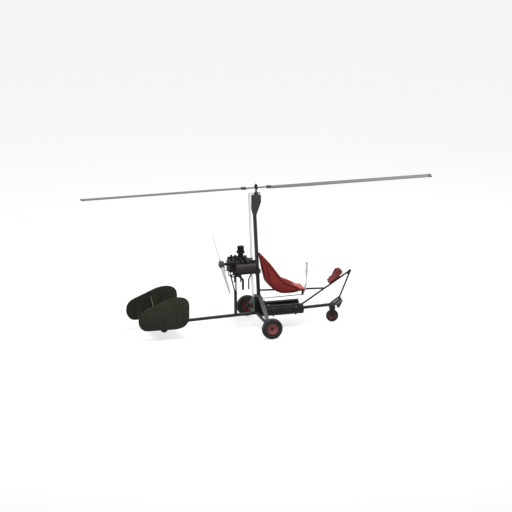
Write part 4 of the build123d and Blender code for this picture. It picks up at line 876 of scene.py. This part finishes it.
engineTrim = {
    "ports": [(-0.422, 0.022), (-0.186, 0.014)],  # x of the head port, pipe radius
    "outlets": [(-0.344, 0.022), (-0.228, 0.014)], "out": 0.268, "portHeight": 1.217, "outletHeight": 0.868,
    "flange": (0.011, 0.0, 0.007), "pipeEnd": [(-0.003, 0.0), (0.0015, -0.001), (0.0015, 0.006), (0, 0.010)],
    "runners": [-0.336, -0.235], "runnerOut": 0.250, "runnerHeight": 1.411,
    "clip": [(0.0195, -0.006), (0.0195, 0.001), (0.015, 0.004)],
    "caps": [(-0.501, 0.0215, 1.504), (-0.429, 0.017, 1.500)],  # x, radius, top
    "capBand": (0.0035, 0.0, 0.008), "capFoot": 0.030, "capFit": 0.001,
    "capLid": [(0.8, 0), (0.7, 0.004), (0.3, 0.005)],  # share of the radius, height
    "necks": (1.470, 1.520), "neckBand": (0.0515, 0.0035, 0.0, 0.009),
}


def makeEngineTrim():
    flanges, clips, ends = [], [], []
    up, down = (0, 0, 1), (0, 0, -1)
    for side in bothSides:
        out = side * engineTrim["out"]
        for portX, radius in engineTrim["ports"]:
            place = (portX, out, engineTrim["portHeight"])
            flanges.append(ringPiece(place, down, band(radius, *engineTrim["flange"]), 40))
        for outletX, radius in engineTrim["outlets"]:
            place = (outletX, out, engineTrim["outletHeight"])
            ends.append(ringPiece(place, up, grown(engineTrim["pipeEnd"], radius), 40))
        for runnerX in engineTrim["runners"]:
            place = (runnerX, side * engineTrim["runnerOut"], engineTrim["runnerHeight"])
            clips.append(turnedPiece(place, up, engineTrim["clip"], 36))
    for capX, radius, top in engineTrim["caps"]:
        fit = engineTrim["capFit"]
        section = band(radius - fit, *engineTrim["capBand"])
        clips.append(ringPiece((capX, 0, top - engineTrim["capFoot"]), up, section, 36))
        lid = [(radius * share, height) for share, height in engineTrim["capLid"]]
        clips.append(turnedPiece((capX, 0, top - fit), up, lid, 28))
    for height in engineTrim["necks"]:
        clips.append(ringPiece((filterX, 0, height), up, band(*engineTrim["neckBand"]), 56))
    finishPiece(joined(flanges + ends), "exhaustFlanges", "airframe", "exhaust_black")
    finishPiece(joined(clips), "intakeClips", "airframe", "engine_grey")


makeEngineTrim()

tankTrim = {
    "radius": 0.100, "offset": 0.160, "height": 0.365, "ends": ((0.055, 1), (0.890, -1)),  # x, inward
    "lip": [(-0.003, -0.002), (0.0028, 0.001), (0.0032, 0.009), (-0.001, 0.012)],
    "straps": (0.289, 0.740), "strapBand": (0.0995, 0.0022, -0.014, 0.014), "capX": 0.200, "capSink": 0.004,
    "cap": [(0.030, 0), (0.030, 0.006), (0.026, 0.007), (0.026, 0.011), (0.029, 0.012), (0.029, 0.021),
            (0.025, 0.0245), (0.010, 0.0255)],
    "buckle": [(-0.017, -0.012), (0.017, -0.012), (0.017, 0.012), (-0.017, 0.012)], "buckleThick": 0.005,
    "buckleEdge": 0.0015, "buckleTurn": 35, "buckleOut": 0.1015,
}


def makeBuckle(middle, side):
    turn = math.radians(tankTrim["buckleTurn"])
    outward = Vector((0, side * math.cos(turn), math.sin(turn)))
    buckle = platePiece(tankTrim["buckle"], 0, tankTrim["buckleThick"], tankTrim["buckleEdge"])
    turned = Vector((0, 1, 0)).rotation_difference(outward).to_matrix().to_4x4()
    buckle.data.transform(Matrix.Translation(Vector(middle) + outward * tankTrim["buckleOut"]) @ turned)
    return buckle


def makeTankTrim():
    seams, straps, caps, buckles = [], [], [], []
    height = tankTrim["height"]
    for side in bothSides:
        y = side * tankTrim["offset"]
        for x, inward in tankTrim["ends"]:
            lip = grown(tankTrim["lip"], tankTrim["radius"])
            seams.append(ringPiece((x, y, height), (inward, 0, 0), lip, 96))
        for x in tankTrim["straps"]:
            straps.append(ringPiece((x, y, height), (1, 0, 0), band(*tankTrim["strapBand"]), 96))
        neck = (tankTrim["capX"], y, height + tankTrim["radius"] - tankTrim["capSink"])
        caps.append(turnedPiece(neck, (0, 0, 1), tankTrim["cap"], 40))
        buckles += [makeBuckle((x, y, height), side) for x in tankTrim["straps"]]
    finishPiece(joined(buckles), "strapBuckles", "airframe", "bolt_dark")
    finishPiece(joined(seams), "tankSeams", "airframe", "tank_black")
    finishPiece(joined(straps), "tankStraps", "airframe", "fork_black")
    finishPiece(joined(caps), "tankCaps", "airframe", "steel_dark")


makeTankTrim()

stickTrim = {
    "foot": (1.0202, 0.0, 0.982), "axis": (0.006, 0.0, 0.263), "waves": 5, "length": 0.245, "radius": 0.0196,
    "swell": 0.0022, "wave": ((0.12, 0.55), (0.32, 0.95), (0.5, 1.0), (0.68, 0.95), (0.88, 0.55), (1.0, 0.1)),
    "start": [(0.0150, 0.0)], "end": [(0.0160, 0.254), (0.0080, 0.2575)],
    "buttons": [(1.0085, -0.0155, 1.222), (1.0060, -0.0155, 1.066)], "buttonAxis": (-0.45, -1, 0),
    "button": [(0.0105, -0.002), (0.0105, 0.003), (0.0082, 0.0042), (0.0082, 0.0075), (0.0060, 0.0090)],
}


def makeGrip():  # a soft sleeve with finger waves and two press buttons
    pitch = stickTrim["length"] / stickTrim["waves"]
    waves = [(stickTrim["radius"] + stickTrim["swell"] * share, (wave + step) * pitch)
             for wave in range(stickTrim["waves"]) for step, share in stickTrim["wave"]]
    profile = stickTrim["start"] + waves + stickTrim["end"]
    grip = turnedPiece(stickTrim["foot"], stickTrim["axis"], profile, 40)
    finishPiece(grip, "stickGrip", "airframe", "grip_pale", 60)
    buttons = [turnedPiece(place, stickTrim["buttonAxis"], stickTrim["button"], 24)
               for place in stickTrim["buttons"]]
    finishPiece(joined(buttons), "stickButtons", "airframe", "button_red")


makeGrip()

plates = {
    "stiffener": [(1.590, 0.334), (1.612, 0.334), (1.724, 0.414), (1.716, 0.428)],
    "wedge": [(1.528, 0.381), (1.590, 0.384), (1.668, 0.468), (1.655, 0.473)],
    "apex": [(1.828, 0.940), (1.850, 0.930), (1.893, 0.946), (1.922, 1.006), (1.905, 1.020), (1.880, 1.010)],
    "gussetFaces": (0.029, 0.0325), "apexFaces": (0.0172, 0.0205),
}


def makeNosePlates():
    brackets, apexes = [], []
    for side in bothSides:
        brackets += [sidePlate(plates[name], side, plates["gussetFaces"]) for name in ("stiffener", "wedge")]
        apexes.append(sidePlate(plates["apex"], side, plates["apexFaces"]))
    finishPiece(joined(brackets), "nosePlates", "airframe", "plate_pale", 25)
    finishPiece(joined(apexes), "apexPlates", "airframe", "fork_black", 25)


makeNosePlates()

pedalShape = {
    "outline": [(1.460, 0.806), (1.456, 0.826), (1.486, 0.848), (1.509, 0.888), (1.550, 0.905),
                (1.572, 0.968), (1.620, 1.042), (1.704, 1.051), (1.721, 1.004), (1.708, 0.966)],
    "bands": [  # from and to over the nose tube's line, inner and outer face
        (-1, 0.044, (0.020, 0.095)), (0.050, 0.080, (0.024, 0.091)), (0.086, 0.114, (0.027, 0.088)),
        (0.120, 1, (0.031, 0.084))],
    "bandEdge": 0.0035, "core": (1.600, 0.925, 0.94), "coreFaces": (0.038, 0.077), "coreEdge": 0.002,
    "rail": [(1.472, 0.766), (1.665, 0.885), (1.665, 0.945), (1.472, 0.819)], "railFaces": (0.026, 0.089),
    "railEdge": 0.003,
}


def overTube(point):  # height over the nose tube's line
    footX, footZ = noseLine["foot"]
    return point[1] - footZ - noseLine["rise"] * (point[0] - footX)


def clipped(outline, measure, low, high):  # part of an outline where a measure of its points is in a range
    for limit, sign in ((low, 1), (high, -1)):
        kept = []
        for first, second in zip(outline, outline[1:] + outline[:1]):
            here, there = sign * (measure(first) - limit), sign * (measure(second) - limit)
            if here >= 0:
                kept.append(first)
            if here * there < 0:
                share = here / (here - there)
                kept.append(tuple(a + share * (b - a) for a, b in zip(first, second)))
        outline = kept
    return outline


def makePedals():  # padded steps on a dark rail that sits over the two cross tubes
    bands, rails = [], []
    middleX, middleZ, shrink = pedalShape["core"]
    core = [(middleX + shrink * (x - middleX), middleZ + shrink * (z - middleZ))
            for x, z in pedalShape["outline"]]
    for side in bothSides:
        for low, high, faces in pedalShape["bands"]:
            outline = clipped(pedalShape["outline"], overTube, low, high)
            bands.append(sidePlate(outline, side, faces, pedalShape["bandEdge"]))
        bands.append(sidePlate(core, side, pedalShape["coreFaces"], pedalShape["coreEdge"]))
        rails.append(sidePlate(pedalShape["rail"], side, pedalShape["railFaces"], pedalShape["railEdge"]))
    pedals = finishPiece(joined(bands), "pedalBands", "airframe", "pedal_red", 30)
    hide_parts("pedals")
    finishPiece(joined(rails), "pedalRails", "airframe", "fork_black", 30)


makePedals()
print("trim made")


# rotor: a pressed cap over each blade tip
tipShape = {"nodes": ("rotor_blade_front", "rotor_blade_rear"), "reach": 3.445, "wall": 0.0011}


def makeTipCaps():
    caps = []
    for nodeName in tipShape["nodes"]:
        cap = placeCopy(nodes[nodeName], (0, 0, 0))
        cap.modifiers.clear()
        selectOnly(cap)
        bpy.ops.object.mode_set(mode="EDIT")
        bpy.ops.mesh.select_all(action="SELECT")
        bpy.ops.mesh.remove_doubles(threshold=1e-5)
        middle = middleOf(nodeName)[0]
        outward = Vector((middle.x, middle.y, 0)).normalized()
        bpy.ops.mesh.bisect(plane_co=outward * tipShape["reach"], plane_no=outward, clear_inner=True)
        bpy.ops.object.mode_set(mode="OBJECT")
        wall = cap.modifiers.new("wall", "SOLIDIFY")
        wall.thickness = tipShape["wall"]
        wall.offset = 1.0
        applyModifier(cap, "wall")
        caps.append(cap)
    finishPiece(joined(caps), "bladeTips", "rotor", "tube_grey", 40)


makeTipCaps()
print("blade tips made")


# tail: fins and rudders with a smooth outline, a raised binding and a rolled seal round the hinge tube
finShape = {
    "outline": [
        (-1.475, 0.440), (-1.475, 0.570), (-1.475, 0.690), (-1.500, 0.775), (-1.570, 0.838), (-1.700, 0.867),
        (-1.860, 0.850), (-2.010, 0.798), (-2.210, 0.715), (-2.330, 0.668), (-2.430, 0.610), (-2.484, 0.535),
        (-2.500, 0.430), (-2.480, 0.344), (-2.430, 0.272), (-2.350, 0.234), (-2.200, 0.229), (-2.000, 0.226),
        (-1.840, 0.223), (-1.720, 0.225), (-1.606, 0.250), (-1.540, 0.296), (-1.492, 0.360)],
    "between": 5, "clear": 0.024, "hinge": -2.12, "finRear": -2.105, "across": 0.42,
    "half": 0.009, "binding": 0.016, "raise": 0.0012, "step": 0.001, "edge": 0.0015, "least": 0.02,
    "lugs": (0.320, 0.650), "lugOverlap": 0.002,
    "lugHalf": (0.0148, 0.007, 0.0088),  # reach behind the hinge, half thickness, half height
    "notch": 0.010, "notchDeep": 0.018, "tube": (0.232, 0.750), "chamfer": 0.001, "pin": 0.004,
    "cove": 0.0097, "coveTurn": 64, "coveSteps": 12, "coveGap": 0.0003, "coveHalf": 0.0088,
    "coveEdge": 0.0003,
}


def smoothOutline():
    points = finShape["outline"]
    between = finShape["between"]
    rows = smoothRows(points[-1:] + points + points[:2], between)
    return [tuple(row) for row in rows[between:between * (len(points) + 1)]]


def cutOutline(outline, low, high, place):  # the part between two x, with no points near the cut's corners
    part = clipped(outline, lambda point: point[0], low, high)
    corners = [point for point in part if abs(point[0] - place) < 1e-6]
    return [point for point in part if point in corners
            or min(math.dist(point, corner) for corner in corners) > finShape["clear"]]


def makePanel(outline, across):
    outer = finShape["half"] + finShape["raise"]
    panel = platePiece(outline, across - outer, across + outer, finShape["edge"])
    pickFaces(panel, lambda face: abs(face.normal.y) > 0.99 and face.area > finShape["least"])
    bpy.ops.mesh.inset(thickness=finShape["binding"], depth=0)
    bpy.ops.mesh.inset(thickness=finShape["step"], depth=-finShape["raise"])
    bpy.ops.object.mode_set(mode="OBJECT")
    binding = panel.data.attributes.new("binding", "FLOAT", "POINT")
    for index, vertex in enumerate(panel.data.vertices):
        sunk = abs(abs(vertex.co.y - across) - finShape["half"]) < 1e-5
        binding.data[index].value = 0.0 if sunk else 1.0
    return panel


def makeHingeCove(across):
    radius, half, steps = finShape["cove"], finShape["coveHalf"], finShape["coveSteps"]
    widest = math.radians(finShape["coveTurn"])
    turns = [widest * (2 * step / steps - 1) for step in range(steps + 1)]
    curve = [(radius * math.cos(turn), radius * math.sin(turn)) for turn in turns]
    depth = finShape["finRear"] - finShape["hinge"] + finShape["coveGap"]
    foot, top = finShape["tube"]
    cove = platePiece([(depth, -half)] + curve + [(depth, half)], 0, foot - top, finShape["coveEdge"])
    place = Matrix.Translation((finShape["hinge"], across, foot))
    cove.data.transform(place @ Matrix.Rotation(math.radians(-90), 4, "X"))
    return cove


def makeFin(outline, across):  # the fixed panel with its cove and the lugs that reach round the hinge pins
    reach, thick, tall = finShape["lugHalf"]
    rear, front = finShape["hinge"] - reach, finShape["finRear"] + finShape["lugOverlap"]
    pieces = [makePanel(cutOutline(outline, finShape["finRear"], 0, finShape["finRear"]), across),
              makeHingeCove(across)]
    for height in finShape["lugs"]:
        low, high = height - tall, height + tall
        lug = [(rear, low), (front, low), (front, high), (rear, high)]
        pieces.append(platePiece(lug, across - thick, across + thick))
    return joined(pieces)


def notched(outline):  # the rudder's outline, cut in at the hinge where the lugs sit
    hinge, notch, deep = finShape["hinge"], finShape["notch"], finShape["notchDeep"]
    atHinge = [abs(point[0] - hinge) < 1e-6 for point in outline]
    start = next(index for index in range(len(outline)) if atHinge[index] and atHinge[index - 1])
    outline = outline[start:] + outline[:start]
    upward = outline[0][1] > outline[-1][1]
    for height in sorted(finShape["lugs"], reverse=not upward):
        first, last = (height - notch, height + notch) if upward else (height + notch, height - notch)
        outline += [(hinge, first), (hinge - deep, first), (hinge - deep, last), (hinge, last)]
    return outline


def makeRudder(outline, across):  # the moving panel with its hinge tube in lengths, and a pin at each lug
    hinge, notch, half = finShape["hinge"], finShape["notch"], finShape["half"]
    chamfer, pin = finShape["chamfer"], finShape["pin"]
    foot, top = finShape["tube"]
    pieces = [makePanel(notched(cutOutline(outline, -3, hinge, hinge)), across)]
    stops = [foot] + [height + step for height in finShape["lugs"] for step in (-notch, notch)] + [top]
    for low, high in zip(stops[::2], stops[1::2]):
        length = high - low
        profile = [(half - chamfer, 0), (half, chamfer), (half, length - chamfer), (half - chamfer, length)]
        pieces.append(turnedPiece((hinge, across, low), (0, 0, 1), profile, 32))
    for height in finShape["lugs"]:
        profile = [(pin, 0), (pin, 2 * (notch + chamfer))]
        pieces.append(turnedPiece((hinge, across, height - notch - chamfer), (0, 0, 1), profile, 16))
    return joined(pieces)


def makeTail():
    outline = smoothOutline()
    for side, name in sideNames.items():
        across = side * finShape["across"]
        fin = makeFin(outline, across)
        finishPiece(fin, "finPanel_" + name, "airframe", "tail_olive", 40)
        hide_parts("fin_" + name)
        rudder = makeRudder(outline, across)
        finishPiece(rudder, "rudderPanel_" + name, "rudder_" + name, "tail_olive", 40)
        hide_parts("rudder_" + name)


makeTail()

# keel: the same square tube, ending under the stabiliser, open at both ends
keelShape = {"rear": -2.335, "wall": 0.003, "open": 0.08}


def makeKeel():
    low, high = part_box("keel_tube")
    half = high[1]
    slope = (high[2] - low[2] - 2 * half) / (high[0] - low[0])
    clearSelection()
    bpy.ops.mesh.primitive_cube_add(size=2, location=(0, 0, 0))
    keel = bpy.context.object
    for vertex in keel.data.vertices:
        place = high[0] if vertex.co.x > 0 else keelShape["rear"]
        vertex.co = (place, half * vertex.co.y, low[2] + half + slope * (place - low[0]) + half * vertex.co.z)
    for end in (-1, 1):
        pickFaces(keel, lambda face: face.normal.x * end > 0.99)
        bpy.ops.mesh.inset(thickness=keelShape["wall"], depth=0)
        bpy.ops.mesh.extrude_region_move(TRANSFORM_OT_translate={"value": (-end * keelShape["open"], 0, 0)})
        bpy.ops.object.mode_set(mode="OBJECT")
    finishPiece(keel, "keelTube", "airframe", slotOfNode["keel_tube"])
    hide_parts("keel_tube")


makeKeel()
print("tail and keel made")

# seat: a tub lofted from U sections, its cover puffed between the seams by cloth
seatShape = {
    "stations": [  # back line x, height, rim line x, height, back seam's distance from the back, its depth
        (0.042, 1.506, 0.070, 1.506, 0.018, 0.3), (0.082, 1.345, 0.172, 1.396, 0.070, 1.0),
        (0.113, 1.189, 0.272, 1.278, 0.086, 1.0), (0.150, 1.055, 0.368, 1.146, 0.068, 1.0),
        (0.196, 0.916, 0.447, 1.034, 0.054, 0.9), (0.264, 0.827, 0.500, 0.970, 0.050, 0.4),
        (0.366, 0.738, 0.566, 0.920, 0.050, 0.0), (0.494, 0.688, 0.657, 0.880, 0.050, 0.0),
        (0.686, 0.687, 0.764, 0.824, 0.044, 0.0), (0.828, 0.716, 0.850, 0.772, 0.030, 0.0),
        (0.953, 0.739, 0.956, 0.752, 0.006, 0.0)],
    "halfWidths": [(0.680, 0.203), (0.900, 0.190), (1.100, 0.138), (1.300, 0.086), (1.507, 0.028)],
    "between": 8, "wall": 0.011, "corner": 0.078, "leastCorner": 0.002, "rimSeam": 0.042, "seamHalf": 0.009,
    "columns": (8, 10, 8, 5),  # across the base, round the corner, up the wall, over the rim's seam
    "shares": {"corner": 0.4, "seamHalf": 0.06, "rimSeam": 0.45, "floor": 0.7},  # most of a low wall's height
    "cornerShare": 0.8,  # most of the half width
    "pull": 0.0040, "roll": 0.0045,
    "cushion": [  # x, how much thicker the pan is than the wall, over the seat tube
        (0.25, 0), (0.36, 0.022), (0.46, 0.052), (0.54, 0.057), (0.64, 0.055), (0.70, 0.049),
        (0.828, 0.027), (0.953, 0)],
}
coverCloth = {
    "pressure": 3.0, "stiffness": 40, "bending": 1.5, "frames": 14, "most": 0.008,
    "held": {"seam": 0.4, "welt": 0.5}, "heldFrom": 0.90,
}


def valueAt(rows, place):  # on the straight lines through rows of place and value
    place = min(max(place, rows[0][0]), rows[-1][0])
    for (low, near), (high, far) in zip(rows, rows[1:]):
        if place <= high:
            return near + (far - near) * (place - low) / (high - low)


def widthAt(height):
    return valueAt(seatShape["halfWidths"], height)


def spread(low, high, count):
    return [low + (high - low) * step / count for step in range(count)]


def seatSection(station, inset):  # half a U from the middle of the base to the rim: place, seam, welt
    backX, backZ, rimX, rimZ, backSeam, depth = station
    floor = inset + (valueAt(seatShape["cushion"], backX) if inset else 0)
    rise = Vector((rimX - backX, 0, rimZ - backZ))
    top = rise.length
    rise.normalize()
    base, low, middle, high = seatShape["columns"]
    width = widthAt(backZ) - inset
    most = {name: share * top for name, share in seatShape["shares"].items()}
    corner = min(seatShape["corner"] - inset, most["corner"], seatShape["cornerShare"] * width)
    corner = max(seatShape["leastCorner"], corner)
    half = min(seatShape["seamHalf"], most["seamHalf"])
    rimSeam = top - min(seatShape["rimSeam"], most["rimSeam"])
    floor = min(floor, most["floor"])
    backSeam = max(floor + 3 * half, min(backSeam, rimSeam - 4 * half))

    def row(up, seam=0):  # a point of the round corner or of the wall above it
        turn = math.acos(min(1.0, max(0.0, 1 - (up - floor) / corner)))
        return width - corner + corner * math.sin(turn), up, seam

    def seamRows(up, seam):
        return [row(up - half, 0.5 * seam), row(up, seam), row(up + half, 0.5 * seam)]

    rows = [(value, floor, 0) for value in spread(0, width - corner, base)]
    rows += [row(floor + (backSeam - half - floor) * (1 - math.cos(turn)))
             for turn in spread(0, math.pi / 2, low)]
    rows += seamRows(backSeam, depth)
    rows += [row(up) for up in spread(backSeam + half, rimSeam - half, middle)[1:]]
    rows += seamRows(rimSeam, 1)
    rows += [row(up) for up in spread(rimSeam + half, top, high)[1:]] + [row(top)]
    section = []
    for across, up, seam in rows:
        place = Vector((backX, 0, backZ)) + rise * up
        across *= widthAt(place.z) / max(widthAt(backZ), 0.001)
        section.append((Vector((place.x, across, place.z)), seam, 1.0 if up > rimSeam + half / 2 else 0.0))
    return section


def bridge(mesh, first, second):  # faces between two rows of vertices
    for a, b, c, d in zip(first, first[1:], second[1:], second):
        mesh.faces.new((a, b, c, d))


def makeSeatShell():
    stations = smoothRows(seatShape["stations"], seatShape["between"])
    mesh = bmesh.new()
    layers = {name: mesh.verts.layers.float.new(name) for name in ("seam", "welt", "paintedLitInside")}
    rows = {"outer": [], "inner": []}
    for station in stations:
        for skin, inset in (("outer", 0.0), ("inner", seatShape["wall"])):
            half = seatSection(station, inset)
            line = []
            for sign in (-1, 1):
                for place, seam, welt in (reversed(half) if sign < 0 else half[1:]):
                    vertex = mesh.verts.new((place.x, sign * place.y, place.z))
                    vertex[layers["seam"]] = seam
                    vertex[layers["welt"]] = welt
                    # marks the inside skin, which the seat's finish paints lighter as painted light
                    vertex[layers["paintedLitInside"]] = 1.0 if skin == "inner" else 0.0
                    line.append(vertex)
            rows[skin].append(line)
    for lines in rows.values():
        for near, far in zip(lines, lines[1:]):
            bridge(mesh, near, far)
    for end in (0, -1):  # rims along both walls
        bridge(mesh, [line[end] for line in rows["outer"]], [line[end] for line in rows["inner"]])
    for end in (0, -1):  # top of the back and front of the pan
        bridge(mesh, rows["outer"][end], rows["inner"][end])
    bmesh.ops.remove_doubles(mesh, verts=mesh.verts, dist=1e-5)
    bmesh.ops.recalc_face_normals(mesh, faces=mesh.faces)
    mesh.normal_update()
    for vertex in mesh.verts:
        shift = seatShape["roll"] * vertex[layers["welt"]] - seatShape["pull"] * vertex[layers["seam"]]
        vertex.co += vertex.normal * shift * min(1.0, 4 * abs(vertex.co.y))
    seat = bpy.data.objects.new("seatCover", bpy.data.meshes.new("seatCover"))
    mesh.to_mesh(seat.data)
    mesh.free()
    scene.collection.objects.link(seat)
    return seat


def puffSeat(seat):  # cloth held along the seams, the rolled edge and the pan's front swells in between
    before = [vertex.co.copy() for vertex in seat.data.vertices]
    held = seat.vertex_groups.new(name="held")
    marks = [(seat.data.attributes[name].data, limit) for name, limit in coverCloth["held"].items()]
    for index, vertex in enumerate(seat.data.vertices):
        marked = any(mark[index].value > limit for mark, limit in marks)
        fixed = marked or vertex.co.x > coverCloth["heldFrom"]
        held.add([index], 1.0 if fixed else 0.0, "REPLACE")
    selectOnly(seat)
    cloth = seat.modifiers.new("cover", "CLOTH")
    cloth.settings.use_pressure = True
    cloth.settings.uniform_pressure_force = coverCloth["pressure"]
    cloth.settings.effector_weights.gravity = 0
    cloth.settings.vertex_group_mass = "held"
    cloth.settings.tension_stiffness = coverCloth["stiffness"]
    cloth.settings.compression_stiffness = coverCloth["stiffness"]
    cloth.settings.bending_stiffness = coverCloth["bending"]
    cloth.collision_settings.use_collision = False
    cloth.point_cache.frame_end = coverCloth["frames"]
    for step in range(1, coverCloth["frames"] + 1):
        scene.frame_set(step)
    bpy.ops.object.modifier_apply(modifier="cover")
    scene.frame_set(1)
    for vertex, place in zip(seat.data.vertices, before):
        shift = vertex.co - place
        if shift.length > coverCloth["most"]:
            vertex.co = place + shift * (coverCloth["most"] / shift.length)
    seat.vertex_groups.clear()


def makeSeat():
    seat = makeSeatShell()
    puffSeat(seat)
    smoother = seat.modifiers.new("roundOff", "SUBSURF")
    smoother.levels = 1
    smoother.render_levels = 1
    applyModifier(seat, "roundOff")
    finishPiece(seat, "seatCover", "airframe", "seat_red", 60)
    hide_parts("seat_tub")


makeSeat()
print("seat made")
